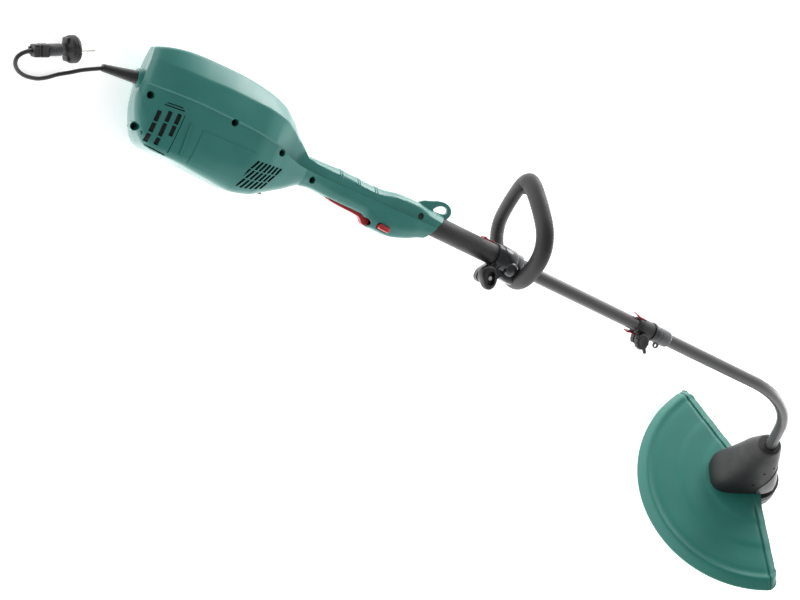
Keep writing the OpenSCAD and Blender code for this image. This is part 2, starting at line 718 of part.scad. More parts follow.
// ---- Head ----
foot_z = guard_h + 3;
foot_r = 30;
foot_back = 44;
neck_len = 14;
module boot(wall) {
    hull() {
        translate([-3, 0, head_h - neck_len]) cylinder(r = 22 - wall, h = neck_len - wall, $fn = 32);
        translate([-12, 0, 92]) cylinder(r = 30 - wall, h = 4, $fn = 32);
    }
    hull() {
        translate([-12, 0, 92]) cylinder(r = 30 - wall, h = 4, $fn = 32);
        translate([-foot_back, 0, foot_z + wall]) cylinder(r = foot_r - wall, h = 14, $fn = 32);
        translate([0, 0, foot_z + wall]) cylinder(r = foot_r - wall, h = 32, $fn = 32);
    }
}
seat_r = 14;
guard_screw_at = [[-56, 15], [-56, -15], [15, 17], [15, -17]];
module head_housing() {
    color(black) lay() head() difference() {
        union() {
            difference() { boot(0); boot(4); }
            translate([0, 0, foot_z]) cylinder(r = seat_r, h = 74);
            translate([0, 0, head_h - socket_depth - 6]) cylinder(r = 13, h = socket_depth + 6);
        }
        translate([0, 0, foot_z - 1]) cylinder(r = 11, h = 76);
        translate([0, 0, head_h - socket_depth]) cylinder(r = tube_d / 2, h = socket_depth + 1);
        translate([0, 0, 90]) cylinder(r = 7, h = 40);
        for (p = guard_screw_at) translate([p.x, p.y, foot_z - 1]) cylinder(r = screw_r, h = 6);
    }
}
module head_panel() {
    color(grey) lay() head() rotate([0, 0, -75]) translate([0, 0, foot_z])
        rotate_extrude(angle = 150) translate([foot_r + 0.2, 0]) square([2.2, 30]);
}
module head_bearings() {
    color(steel) lay() head() {
        ring(11, shaft_r, foot_z + 3, foot_z + 10);
        ring(11, shaft_r, 84, 91);
    }
}
ridge_step = 1.5;
flange_rise = 0.3;     // the flange under the head stands this far above the plate
flange_t = guard_t + 0.5;
plate_z = foot_z - flange_rise;
skirt_r = guard_r - guard_t - 1.5;
wall_inset = 0.3;
corner_cut = 12;
module guard() {
    color(dark_green) lay() head() difference() {
        union() {
            rotate([0, 0, guard_from]) rotate_extrude(angle = guard_sweep, $fn = 96)
                polygon([[foot_r, plate_z], [95, plate_z], [97, plate_z - ridge_step],
                    [140, plate_z - ridge_step], [142, guard_h], [guard_top_r, guard_h],
                    [guard_r - 1, 2], [guard_r, 2], [guard_r, 0], [skirt_r, 0],
                    [guard_top_r - guard_t, guard_h - guard_t], [141, guard_h - guard_t],
                    [139, plate_z - ridge_step - guard_t], [96, plate_z - ridge_step - guard_t],
                    [94, plate_z - guard_t], [foot_r, plate_z - guard_t]]);
            ring(foot_r + 4, seat_r, foot_z - flange_t, foot_z);
            rotate([0, 0, guard_from]) translate([0, wall_inset, 0]) guard_wall();
            rotate([0, 0, guard_from + guard_sweep]) translate([0, -guard_t - wall_inset, 0])
                guard_wall();
        }
        for (p = guard_screw_at)
            translate([p.x, p.y, 0]) cylinder(r = screw_r + hole_play, h = 30);
        for (a = [0, guard_sweep]) rotate([0, 0, guard_from + a])
            translate([guard_r, 0, -1]) rotate([0, 0, 45])
                translate([-corner_cut, -corner_cut, 0]) cube([2 * corner_cut, 2 * corner_cut, 30]);
    }
}
// Turned-down wall along a straight edge of the guard, let into its plate and skirt
module guard_wall() {
    let_in = 1;
    wall_z = 8;
    slant = (guard_r - guard_top_r) / guard_h;
    translate([0, guard_t, 0]) rotate([90, 0, 0]) linear_extrude(guard_t)
        polygon([[spool_r + 2, wall_z], [spool_r + 2, carrier_top + 2],
            [foot_r + 6, carrier_top + 2], [foot_r + 6, plate_z - let_in], [94, plate_z - let_in],
            [97, plate_z - ridge_step - let_in], [139, plate_z - ridge_step - let_in],
            [142, guard_h - let_in], [guard_top_r - 1, guard_h - let_in],
            [guard_top_r - 2 + slant * (guard_h - wall_z), wall_z]]);
}
module guard_screws() {
    color(steel) lay() head() for (p = guard_screw_at) translate([p.x, p.y, 0]) {
        translate([0, 0, foot_z - flange_t - 2.2]) cylinder(r = 3.2, h = 2.2);
        translate([0, 0, foot_z - flange_t - 1]) cylinder(r = screw_r, h = flange_t + 4);
    }
}
module line_cutter() {
    color(steel) lay() head() rotate([0, 0, guard_from]) difference() {
        translate([154, guard_t + wall_inset, -2]) cube([24, 1.2, 17]);
        translate([154, guard_t + wall_inset + 1.2, -2]) rotate([45, 0, 0])
            translate([-1, -0.6, -0.6]) cube([26, 1.2, 1.2]);
    }
}

// ---- Spool ----
carrier_top = 12;
cap_z = -20;
eyelet_z = -5;
hub_r = 8;
module spindle() {
    color(steel) lay() head() difference() {
        union() {
            translate([0, 0, cap_z + 4]) cylinder(r = shaft_r - play, h = 92 - cap_z - 4);
            translate([0, 0, 92]) cylinder(r = 5.5, h = 16);
        }
        translate([0, 0, 95]) cylinder(r = cable_r + cable_play, h = 14);
    }
}
module spool_housing() {
    color(black) lay() head() difference() {
        union() {
            ring(spool_r, spool_r - 3, cap_z, carrier_top);
            ring(spool_r, shaft_r - play, carrier_top - 3, carrier_top);
            ring(hub_r, shaft_r - play, cap_z + 6, foot_z + 2.7);
        }
        translate([-spool_r - 1, 0, eyelet_z]) rotate([0, 90, 0]) cylinder(r = 3.5, h = 6);
    }
}
module spool() {
    color("#d8d8d2") lay() head() {
        difference() {
            union() {
                ring(13, hub_r, cap_z + 8, carrier_top - 3 - gap);
                ring(40, hub_r, cap_z + 8, cap_z + 10);
            }
            ring(12, 9.5, cap_z + 7, cap_z + 13);
        }
        ring(40, hub_r, carrier_top - 5 - gap, carrier_top - 3 - gap);
    }
}
module line_winding() {
    color("#d7a33c") lay() head() ring(34, 13, cap_z + 10, carrier_top - 5 - gap);
}
module line_eyelet() {
    color(steel) lay() head() translate([-spool_r - 1, 0, eyelet_z]) rotate([0, 90, 0])
        difference() {
            union() {
                cylinder(r = 3.5, h = 5);
                cylinder(r = 4.5, h = 1);
            }
            translate([0, 0, -1]) cylinder(r = line_r + 0.05, h = 8);
        }
}
module cutting_line() {
    color("#d7a33c") lay() head() translate([-line_reach, 0, eyelet_z]) rotate([0, 90, 0])
        cylinder(r = line_r, h = line_reach - 34, $fn = 16);
}
module spool_cap() {
    color(black) lay() head() difference() {
        ring(spool_r, tap_r + gap, cap_z - 4, cap_z);
        for (i = [0 : 5]) rotate([0, 0, 60 * i + 30]) translate([spool_r + 3, 0, cap_z - 5])
            cylinder(r = 6, h = 6);
    }
}
module tap_button() {
    color(black) lay() head() difference() {
        union() {
            translate([0, 0, cap_z - 13]) cylinder(r = tap_r, h = 13.3);
            translate([0, 0, cap_z + 0.2]) cylinder(r = tap_r + 2.5, h = 1.4);
        }
        translate([0, 0, cap_z - 10]) cylinder(r = tap_r - 3, h = 14);
    }
}
module tap_spring() {
    color(steel) lay() head() ring(11.5, 10, cap_z - 10, cap_z + 7.7);
}

// ---- Mains lead and plug, on the floor behind the housing ----
module along_cord(from = 0) {
    translate([housing_rear, 0, cord_z]) rotate([0, -90 - cord_drop, 0]) translate([0, 0, from])
        children();
}
module strain_relief() {
    color(black) lay() difference() {
        union() {
            along_cord(-2.6) cylinder(r = neck_r, h = 6);
            difference() {
                along_cord(-2) cylinder(r1 = relief_r, r2 = cord_d / 2 + 1.3, h = relief_len + 2);
                translate([housing_rear, -20, -20]) cube(40);
            }
        }
        along_cord(-5) cylinder(r = cord_d / 2, h = relief_len + 10);
    }
}
// A point of the tool's own frame after it is laid down, before the shift to the origin
function laid(p) = [p.x * cos(lie_tilt) + p.y * sin(lie_tilt), p.z,
    lift + p.x * sin(lie_tilt) - p.y * cos(lie_tilt)];
function on_cord(s) = laid([housing_rear - s * cos(cord_drop), 0, cord_z - s * sin(cord_drop)]);
// Route of the free lead along the floor, and its turn back up into the plug
cord_floor = cord_d / 2;
CORD_ROUTE = [[-753, -16, 12], [-766, -26, 7], [-777, -34, cord_floor + 0.6],
    [-787, -42, cord_floor], [-797, -48, cord_floor], [-807, -51, cord_floor],
    [-817, -52, cord_floor + 0.6], [-827, -50, 5], [-835, -45, 9], [-838, -38, 13], [-835, -31, 16]];
plug_at = [-828, -25, plug_r];
plug_turn = 26.5;
module floor_place() { translate([rest_shift.x, rest_shift.y, 0]) children(); }
module on_plug() {
    floor_place() translate(plug_at) rotate([0, 0, plug_turn]) rotate([0, 90, 0]) children();
}
module mains_cord() {
    into_plug = plug_at + 14 * [cos(plug_turn), sin(plug_turn), 0];
    color(black) floor_place() sweep(concat([on_cord(-16), on_cord(relief_len)], CORD_ROUTE,
        [plug_at, into_plug]), cord_d / 2, sides = 10, up = [0, 0, 1]);
}
clip_len = 21;
grip_len = 20;
disc_at = clip_len + grip_len;
disc_t = 16;
module plug_clip() {
    color(black) on_plug() difference() {
        union() {
            cylinder(r = 8, h = clip_len);
            translate([-5, -11, 0]) cube([10, 22, 9]);
        }
        translate([0, 0, -1]) cylinder(r = cord_d / 2, h = 15);
    }
}
module plug_grip() {
    color(grey) on_plug() translate([0, 0, clip_len]) difference() {
        cylinder(r = 11.5, h = grip_len);
        for (i = [0 : 4]) translate([0, 0, 2 + 3.6 * i]) difference() {
            cylinder(r = 13, h = 1.6);
            translate([0, 0, -1]) cylinder(r = 10.5, h = 4);
        }
    }
}
module plug_body() {
    color(black) on_plug() translate([0, 0, disc_at]) difference() {
        union() {
            cylinder(r1 = 12.5, r2 = plug_r, h = 7);
            translate([0, 0, 7]) cylinder(r = plug_r, h = disc_t - 7);
        }
        for (m = [-1, 1]) rotate([0, 0, 90]) translate([0, m * pin_pitch / 2, disc_t - 8])
            cylinder(r = pin_r, h = 9);
    }
}
module plug_pins() {
    color(steel) on_plug() for (m = [-1, 1]) rotate([0, 0, 90])
        translate([0, m * pin_pitch / 2, disc_at + disc_t - 8]) cylinder(r = pin_r, h = pin_len + 8);
}

housing_left();
housing_right();
housing_screws();
filter_screens();
motor_stator();
armature();
motor_shaft();
commutator();
cooling_fan();
rear_bearing();
front_bearing();
brush_holders();
drive_coupler();
capacitor();
switch_block();
cord_clamp();
strain_relief();
mains_cord();
plug_body();
plug_grip();
plug_clip();
plug_pins();
trigger();
trigger_pin();
trigger_spring();
lock_button();
clamp_sleeve();
upper_tube();
drive_cable_upper();
cable_liner_upper();
clamp_liner();
loop_clamp();
loop_handle();
loop_bolt();
loop_knob();
loop_tab();
upper_collar();
collar_seal();
collar_bolt();
collar_knob();
release_clip();
lower_collar();
lower_tube();
drive_cable_lower();
cable_liner_lower();
head_housing();
head_panel();
head_bearings();
guard();
guard_screws();
line_cutter();
spindle();
spool_housing();
spool();
line_winding();
line_eyelet();
cutting_line();
spool_cap();
tap_button();
tap_spring();
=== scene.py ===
"""Looks of a corded grass trimmer that lies on its left side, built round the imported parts."""
import bisect
import json
import math
import bmesh
import bpy
from mathutils import Matrix, Vector
from mathutils.bvhtree import BVHTree


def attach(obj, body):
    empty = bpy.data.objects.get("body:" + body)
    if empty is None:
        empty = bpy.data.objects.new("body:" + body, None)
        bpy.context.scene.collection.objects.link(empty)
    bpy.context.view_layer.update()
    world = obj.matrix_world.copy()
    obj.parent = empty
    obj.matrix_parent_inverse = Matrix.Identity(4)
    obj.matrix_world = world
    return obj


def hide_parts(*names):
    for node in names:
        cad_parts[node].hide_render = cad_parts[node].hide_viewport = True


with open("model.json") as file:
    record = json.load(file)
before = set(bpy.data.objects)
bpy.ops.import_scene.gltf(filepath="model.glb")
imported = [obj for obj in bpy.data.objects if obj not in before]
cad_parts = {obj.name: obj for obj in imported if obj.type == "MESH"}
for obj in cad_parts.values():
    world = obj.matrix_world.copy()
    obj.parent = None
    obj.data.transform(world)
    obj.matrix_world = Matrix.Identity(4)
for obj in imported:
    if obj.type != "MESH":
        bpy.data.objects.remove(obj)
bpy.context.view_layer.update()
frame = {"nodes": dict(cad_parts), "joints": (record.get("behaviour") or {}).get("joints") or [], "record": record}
MM = 0.001
record = frame["record"]
mounts = {m["name"]: m for m in record["mounts"]}
joints = {j["name"]: j for j in frame["joints"]}
scene = bpy.context.scene


def axes_matrix(x, y, z, origin):
    """Matrix that takes a part's own frame, in millimetres, to the shared frame."""
    turn = Matrix((x, y, z)).transposed().to_4x4()
    return Matrix.Translation(origin) @ turn @ Matrix.Scale(MM, 4)


# The tool's own frame: X along the shaft to the head, Y to the tool's left, Z up in use
shaft_x = Vector(mounts["shaft_clamp"]["axis"]).normalized()
tool_z = Vector((0, 1, 0))
tool_y = tool_z.cross(shaft_x).normalized()
CLAMP_AHEAD = 30 * MM
tool_origin = Vector(mounts["shaft_clamp"]["pos_m"]) - CLAMP_AHEAD * shaft_x
TOOL = axes_matrix(shaft_x, tool_y, tool_z, tool_origin)
# The head's frame: Z up the spool's axis to the tube, X away from the user
head_z = -Vector(joints["spool_spin"]["axis"]).normalized()
head_y = head_z.cross(shaft_x).normalized()
HEAD = axes_matrix(head_y.cross(head_z).normalized(), head_y, head_z, Vector(joints["spool_spin"]["pos_m"]))
# The lower shaft is turned about the shaft's line, and bends away from its own Z
low_z = shaft_x.cross(head_y).normalized()
LOW = axes_matrix(shaft_x, head_y, low_z, tool_origin)
# Turns of a lathed shape's Z: to the tool's right, and forward along the shaft
TO_RIGHT = Matrix.Rotation(math.radians(90), 4, "X")
FORWARD = Matrix.Rotation(math.radians(90), 4, "Y")

# ---- Camera ----
scene.view_settings.view_transform = "Standard"
camera = bpy.data.objects.new("camera", bpy.data.cameras.new("camera"))
scene.collection.objects.link(camera)
camera.data.lens = 63.2
camera.data.sensor_width = 36
camera.data.clip_start, camera.data.clip_end = 0.05, 30
right = Vector((0.6221, 0.3835, 0.6826)).normalized()
down = Vector((0.2885, -0.9228, 0.2555)).normalized()
back = right.cross(-down).normalized()
EYE = (-1.6894, -0.0805, 1.4578)
camera.matrix_world = Matrix.Translation(EYE) @ Matrix((right, -down, back)).transposed().to_4x4()
scene.camera = camera


# ---- Materials ----
def linear(code):
    """An sRGB hex value as linear colour."""
    parts = [int(code[i:i + 2], 16) / 255 for i in (0, 2, 4)]
    return (*[c / 12.92 if c <= 0.04045 else ((c + 0.055) / 1.055) ** 2.4 for c in parts], 1)


def add(tree, kind, settings=None, links=None):
    """Adds a node, sets its properties and sockets, and links sockets to the outputs given."""
    made = tree.nodes.new(kind)
    for name, value in (settings or {}).items():
        if isinstance(name, str) and hasattr(made, name):
            setattr(made, name, value)
        else:
            made.inputs[name].default_value = value
    for name, source in (links or {}).items():
        tree.links.new(source, made.inputs[name])
    return made


def start(name):
    """A new material with its tree emptied, and its object coordinates."""
    made = bpy.data.materials.new(name)
    made.use_nodes = True
    tree = made.node_tree
    tree.nodes.clear()
    return made, tree, add(tree, "ShaderNodeTexCoord").outputs["Object"]


def surface(tree, shader):
    add(tree, "ShaderNodeOutputMaterial", None, {"Surface": shader.outputs[0]})


def moulded(name, light, dark, roughness, grain, depth, cloud=40):
    """Moulded plastic: two near tones in soft clouds, and spark-eroded grain of the size given, in mm."""
    made, tree, where = start(name)
    clouds = add(tree, "ShaderNodeTexNoise", {"Scale": 1000 / cloud, "Detail": 3}, {"Vector": where})
    fine = add(tree, "ShaderNodeTexNoise", {"Scale": 1000 / grain, "Detail": 2}, {"Vector": where})
    tone = add(tree, "ShaderNodeMix", {"data_type": "RGBA", 6: linear(dark), 7: linear(light)},
               {0: clouds.outputs["Fac"]})
    shine = add(tree, "ShaderNodeMapRange", {"From Min": 0.3, "From Max": 0.7, "To Min": roughness - 0.05,
                                             "To Max": roughness + 0.06}, {"Value": clouds.outputs["Fac"]})
    bump = add(tree, "ShaderNodeBump", {"Strength": 0.5, "Distance": depth * MM},
               {"Height": fine.outputs["Fac"]})
    surface(tree, add(tree, "ShaderNodeBsdfPrincipled", {"IOR": 1.5},
                      {"Base Color": tone.outputs[2], "Roughness": shine.outputs[0],
                       "Normal": bump.outputs[0]}))
    return made


def metal(name, light, dark, roughness, streak, metallic=1.0):
    """Machined or drawn metal: tone and gloss run in fine streaks along X, spaced as given, in mm."""
    made, tree, where = start(name)
    turned = add(tree, "ShaderNodeMapping", {"Scale": (0.06, 1, 1)}, {"Vector": where})
    streaks = add(tree, "ShaderNodeTexNoise", {"Scale": 1000 / streak, "Detail": 4},
                  {"Vector": turned.outputs[0]})
    tone = add(tree, "ShaderNodeMix", {"data_type": "RGBA", 6: linear(dark), 7: linear(light)},
               {0: streaks.outputs["Fac"]})
    shine = add(tree, "ShaderNodeMapRange", {"To Min": roughness - 0.06, "To Max": roughness + 0.08},
                {"Value": streaks.outputs["Fac"]})
    bump = add(tree, "ShaderNodeBump", {"Strength": 0.25, "Distance": 0.00002},
               {"Height": streaks.outputs["Fac"]})
    surface(tree, add(tree, "ShaderNodeBsdfPrincipled", {"Metallic": metallic},
                      {"Base Color": tone.outputs[2], "Roughness": shine.outputs[0],
                       "Normal": bump.outputs[0]}))
    return made


def stacked_sheet():
    """Electrical steel laminations: 0.5 mm sheets stacked along the motor, each edge a fine line."""
    made, tree, where = start("electrical_steel_laminations")
    rows = add(tree, "ShaderNodeMapping", {"Rotation": (0, math.atan2(shaft_x.z, shaft_x.x), 0)},
               {"Vector": where})
    lines = add(tree, "ShaderNodeTexWave", {"Scale": 50, "Distortion": 0.4}, {"Vector": rows.outputs[0]})
    tone = add(tree, "ShaderNodeMix", {"data_type": "RGBA", 6: linear("4A4C4E"), 7: linear("7C7F82")},
               {0: lines.outputs["Fac"]})
    bump = add(tree, "ShaderNodeBump", {"Strength": 0.4, "Distance": 0.0001},
               {"Height": lines.outputs["Fac"]})
    surface(tree, add(tree, "ShaderNodeBsdfPrincipled", {"Metallic": 0.9, "Roughness": 0.5},
                      {"Base Color": tone.outputs[2], "Normal": bump.outputs[0]}))
    return made


# Coloured ABS housing, satin with a fine spark grain
green_abs = moulded("green_abs", "35827A", "2D756E", 0.36, 0.7, 0.05)
# Impact-grade polypropylene guard: smoother than the housing, a little waxy
guard_pp = moulded("guard_polypropylene", "1B7468", "17685E", 0.5, 1.6, 0.04, cloud=70)
# Glass-filled nylon: matt black with a coarser grain and grey fibre bloom
black_nylon = moulded("glass_filled_nylon", "19191A", "131314", 0.56, 0.9, 0.07, cloud=25)
# The same nylon from a polished tool: smoother, with a blue-black cast
clamp_nylon = moulded("polished_nylon", "2A2B2F", "222327", 0.24, 0.6, 0.03, cloud=25)
# Soft over-moulded rubber of the grip
grip_rubber = moulded("grip_rubber", "2C2B2C", "222122", 0.55, 0.5, 0.06, cloud=30)
# Soft PVC of the lead and its relief
soft_pvc = moulded("soft_pvc", "2A2A2B", "202021", 0.38, 0.8, 0.03, cloud=30)
# Grey nylon of the lower collar, the panel and the plug's grip
grey_nylon = moulded("grey_nylon", "4C4D4F", "414244", 0.42, 0.9, 0.06, cloud=25)
# Acetal buttons, clip and tabs: glossy red
red_acetal = moulded("red_acetal", "C02A30", "AC242B", 0.3, 0.6, 0.02, cloud=20)
# Natural acetal and polythene liners
natural_acetal = moulded("natural_acetal", "D8D7CF", "CBC9BE", 0.35, 0.8, 0.03, cloud=20)
# Drawn nylon line: amber
amber_line = moulded("drawn_nylon_line", "C8962E", "B07C20", 0.25, 0.8, 0.03, cloud=12)
# Powder-coated steel tube: anthracite, fine orange peel
coated_tube = moulded("powder_coated_tube", "4A4A4B", "3F3F40", 0.38, 1.4, 0.05, cloud=60)
zinc_steel = metal("zinc_plated_steel", "C9CCD0", "A9ADB2", 0.3, 0.8)
black_steel = metal("blackened_steel", "3A3B3D", "242526", 0.4, 0.8, metallic=0.9)
nickel = metal("nickel_plated_brass", "D9D7D0", "C4C2BA", 0.2, 0.8)
brass = metal("brass", "C9A35A", "A98440", 0.32, 0.8)
laminations = stacked_sheet()
# Material and slot together, for the pieces
GREEN, BLACK = (green_abs, "green_plastic"), (black_nylon, "black_plastic")
CLAMP, GREY, RED = (clamp_nylon, "black_plastic"), (grey_nylon, "grey_plastic"), (red_acetal, "red_plastic")
FINISH = {"green_plastic": green_abs, "dark_green_plastic": guard_pp, "black_plastic": black_nylon,
          "soft_black": soft_pvc, "grey_plastic": grey_nylon, "coated_tube": coated_tube,
          "red_plastic": red_acetal, "steel": zinc_steel, "laminations": laminations, "brass": brass,
          "light_plastic": natural_acetal, "nylon_line": amber_line}
for sub in record["subparts"]:
    ob = frame["nodes"][sub["node"]]
    ob.data.materials.clear()
    ob.data.materials.append(FINISH[sub["material_slot"]])


# ---- Ways of making shapes ----
def curve_through(rows, steps, closed=False):
    """Points of a smooth curve through the ones given, each of any size."""
    count = len(rows)
    out = []
    for i in range(count if closed else count - 1):
        near = [rows[k % count] if closed else rows[max(0, min(count - 1, k))] for k in range(i - 1, i + 3)]
        for step in range(steps):
            t = step / steps
            out.append(tuple(0.5 * (2 * b + (c - a) * t + (2 * a - 5 * b + 4 * c - d) * t * t
                                    + (3 * b - a - 3 * c + d) * t ** 3) for a, b, c, d in zip(*near)))
    return out if closed else out + [tuple(rows[-1])]


def level_between(rows, x):
    """Values at x on curves through the rows, which start with their own x, with no overshoot."""
    at = [row[0] for row in rows]
    i = max(0, min(len(rows) - 2, bisect.bisect_right(at, x) - 1))
    gap = at[i + 1] - at[i]
    t = max(0, min(1, (x - at[i]) / gap))

    def slope(k, c):
        near = [(rows[j + 1][c] - rows[j][c]) / (at[j + 1] - at[j]) for j in (k - 1, k)
                if 0 <= j < len(rows) - 1]
        if len(near) == 1 or near[0] * near[1] <= 0:
            return near[0] if len(near) == 1 else 0
        return 2 * near[0] * near[1] / (near[0] + near[1])
    return [(2 * t ** 3 - 3 * t * t + 1) * rows[i][c] + (t ** 3 - 2 * t * t + t) * gap * slope(i, c)
            + (3 * t * t - 2 * t ** 3) * rows[i + 1][c] + (t ** 3 - t * t) * gap * slope(i + 1, c)
            for c in range(1, len(rows[0]))]


def crisp(rows, places, half=1.2):
    """Rows with two more close on each side of each place, so that the curves turn sharply there."""
    out = list(rows)
    for x in places:
        k = next(i for i, row in enumerate(rows) if row[0] == x)
        for near, side in ((rows[k - 1], -1), (rows[k + 1], 1)):
            share = half / abs(near[0] - x)
            out.append(tuple(b + (a - b) * share for a, b in zip(near, rows[k])))
    return sorted(out)


def rounded(corners, steps=4):
    """Closed outline with each corner (x, y, radius) turned into an arc of steps + 1 points."""
    out = []
    for i, (x, y, radius) in enumerate(corners):
        here = Vector((x, y))
        before = Vector(corners[i - 1][:2]) - here
        after = Vector(corners[(i + 1) % len(corners)][:2]) - here
        cut = min(radius, 0.48 * before.length, 0.48 * after.length)
        a, b = here + before.normalized() * cut, here + after.normalized() * cut
        for k in range(steps + 1):
            t = k / steps
            p = a * (1 - t) ** 2 + here * 2 * t * (1 - t) + b * t * t
            out.append((p.x, p.y))
    return out


def box(x0, y0, x1, y1, radius, steps=4):
    """Outline of a rectangle with rounded corners."""
    return rounded([(x0, y0, radius), (x1, y0, radius), (x1, y1, radius), (x0, y1, radius)], steps)


def circle(radius, count=32, centre=(0, 0)):
    return [(centre[0] + radius * math.cos(2 * math.pi * i / count),
             centre[1] + radius * math.sin(2 * math.pi * i / count)) for i in range(count)]


def loop_of(bm, points):
    """A closed loop of edges through the points."""
    made = bmesh.ops.create_circle(bm, segments=len(points), radius=1)["verts"]
    for vert, point in zip(made, points):
        vert.co = point
    return list({e for vert in made for e in vert.link_edges})


def loft(sections, closed=False, cap=(True, True)):
    """Skin over sections of equal size, bridged one to the next."""
    bm = bmesh.new()
    loops = [loop_of(bm, section) for section in sections]
    for a, b in zip(loops, loops[1:] + (loops[:1] if closed else [])):
        bmesh.ops.bridge_loops(bm, edges=a + b)
    for use, ends in zip(cap, (loops[0], loops[-1])):
        if use and not closed:
            bmesh.ops.contextual_create(bm, geom=ends)
    bmesh.ops.recalc_face_normals(bm, faces=bm.faces)
    return bm


def lathe(profile, sides=48, place=Matrix()):
    """Full turn of a closed profile of (radius, z) about Z; a radius of 0 closes on the axis."""
    bm = bmesh.new()
    verts = [bm.verts.new((r, 0, z)) for r, z in profile]
    edges = [bm.edges.new(pair) for pair in zip(verts, verts[1:])]
    if profile[0][0] > 0 or profile[-1][0] > 0:
        edges.append(bm.edges.new((verts[-1], verts[0])))
    bmesh.ops.spin(bm, geom=verts + edges, cent=(0, 0, 0), axis=(0, 0, 1), angle=2 * math.pi, steps=sides,
                   use_merge=True)
    bmesh.ops.remove_doubles(bm, verts=bm.verts, dist=1e-4)
    bmesh.ops.recalc_face_normals(bm, faces=bm.faces)
    bmesh.ops.transform(bm, matrix=place, verts=bm.verts)
    return bm


def slab(outline, low, high, axis="Y"):
    """Solid of a closed outline between two levels of an axis, which runs across it."""
    def put(p, level):
        return {"X": (level, *p), "Y": (p[0], level, p[1]), "Z": (*p, level)}[axis]
    return loft([[put(p, level) for p in outline] for level in (low, high)])


def cross(x, z, radius, low, high):
    """Round bar across the tool, from one Y to another."""
    return slab(circle(radius, centre=(x, z)), low, high)


def tapered(outline, levels):
    """Solid of an outline scaled and lifted by levels of (share, z)."""
    return loft([[(x * s, y * s, z) for x, y in outline] for s, z in levels])


def sweep_path(points, section, up, closed=False):
    """Section, given along the path's side and up as a function of the point's number, swept on a path."""
    points = [Vector(p) for p in points]
    rings = []
    for i, p in enumerate(points):
        ahead = points[(i + 1) % len(points)] if closed or i + 1 < len(points) else p
        behind = points[i - 1] if closed or i else p
        along = (ahead - behind).normalized()
        side = along.cross(Vector(up)).normalized()
        top = side.cross(along)
        rings.append([p + side * a + top * b for a, b in section(i)])
    return loft(rings, closed)


def trim(bm, at, normal, inner=False, fill=False):
    """Cuts off what lies past a plane, or before it, and closes the cut if asked."""
    bmesh.ops.bisect_plane(bm, geom=bm.verts[:] + bm.edges[:] + bm.faces[:], dist=1e-4, plane_co=at,
                           plane_no=normal, clear_inner=inner, clear_outer=not inner)
    if fill:
        bmesh.ops.holes_fill(bm, edges=[e for e in bm.edges if e.is_boundary], sides=0)


def joined(*parts):
    """One mesh from several, each left as a separate shell."""
    whole = parts[0]
    for part in parts[1:]:
        data = bpy.data.meshes.new("part")
        part.to_mesh(data)
        part.free()
        whole.from_mesh(data)
        bpy.data.meshes.remove(data)
    return whole


def bare(name, bm, place=Matrix()):
    """An object from a mesh in a part's own frame."""
    bmesh.ops.transform(bm, matrix=place, verts=bm.verts)
    if place.determinant() < 0:
        bmesh.ops.reverse_faces(bm, faces=bm.faces)
    data = bpy.data.meshes.new(name)
    bm.to_mesh(data)
    bm.free()
    made = bpy.data.objects.new(name, data)
    scene.collection.objects.link(made)
    return made


def baked(ob):
    """Applies an object's modifiers to its mesh."""
    seen = ob.evaluated_get(bpy.context.evaluated_depsgraph_get())
    old, ob.data = ob.data, bpy.data.meshes.new_from_object(seen)
    ob.modifiers.clear()
    bpy.data.meshes.remove(old)


def thicken(ob, wall):
    """Gives a skin a wall, in mm, on its inner side."""
    shell = ob.modifiers.new("wall", "SOLIDIFY")
    shell.thickness, shell.offset = wall * MM, -1
    baked(ob)


def carve(ob, cutters, place):
    """Cuts the cutters, given in a part's own frame, out of an object."""
    tool = bare("cutter", joined(*cutters), place)
    cut = ob.modifiers.new("cut", "BOOLEAN")
    cut.object, cut.operation, cut.solver, cut.use_self = tool, "DIFFERENCE", "EXACT", True
    baked(ob)
    bpy.data.objects.remove(tool)


def finish_piece(ob, body, material, slot, nodes=(), round_edges=0, angle=38):
    """Rides a piece on its body, hides the nodes it stands for, and gives it edges and a finish."""
    ob.data.materials.clear()
    ob.data.materials.append(material)
    ob.data.polygons.foreach_set("use_smooth", [True] * len(ob.data.polygons))
    ob.data.set_sharp_from_angle(angle=math.radians(angle))
    if round_edges:
        edge = ob.modifiers.new("edges", "BEVEL")
        edge.width, edge.segments, edge.limit_method = round_edges * MM, 3, "ANGLE"
        edge.angle_limit, edge.harden_normals = math.radians(angle), False
    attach(ob, body)
    if nodes:
        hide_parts(*nodes)
    return ob


def piece(name, bm, place, body, material, slot, nodes=(), **finish):
    return finish_piece(bare(name, bm, place), body, material, slot, nodes, **finish)


# ---- Mains lead: relief, lead and plug ----
CORD_D = 5.2
PLUG_TURN = math.radians(26.5)
ORIGIN_HEIGHT = 206.30693 * MM
under_origin = tool_origin - Vector((0, 0, ORIGIN_HEIGHT))
# Where the lead leaves the rear face, and its way out
REAR_X = -712
OUTLET = Vector((REAR_X, 0, 4))
EXIT_DROP = math.radians(10)
exit_dir = Vector((-math.cos(EXIT_DROP), 0, -math.sin(EXIT_DROP)))
outlet_turn = Vector((0, 0, 1)).rotation_difference(exit_dir).to_matrix().to_4x4()
outlet_place = Matrix.Translation(OUTLET) @ outlet_turn


def on_lead(s):
    """Point of the lead's straight start, s mm from the housing, in the shared frame."""
    return TOOL @ (OUTLET + exit_dir * s)


def on_floor(x, y, z):
    """Place on or above the floor, in mm from the point under the tool's origin."""
    return Vector((x, y, z)) * MM + under_origin


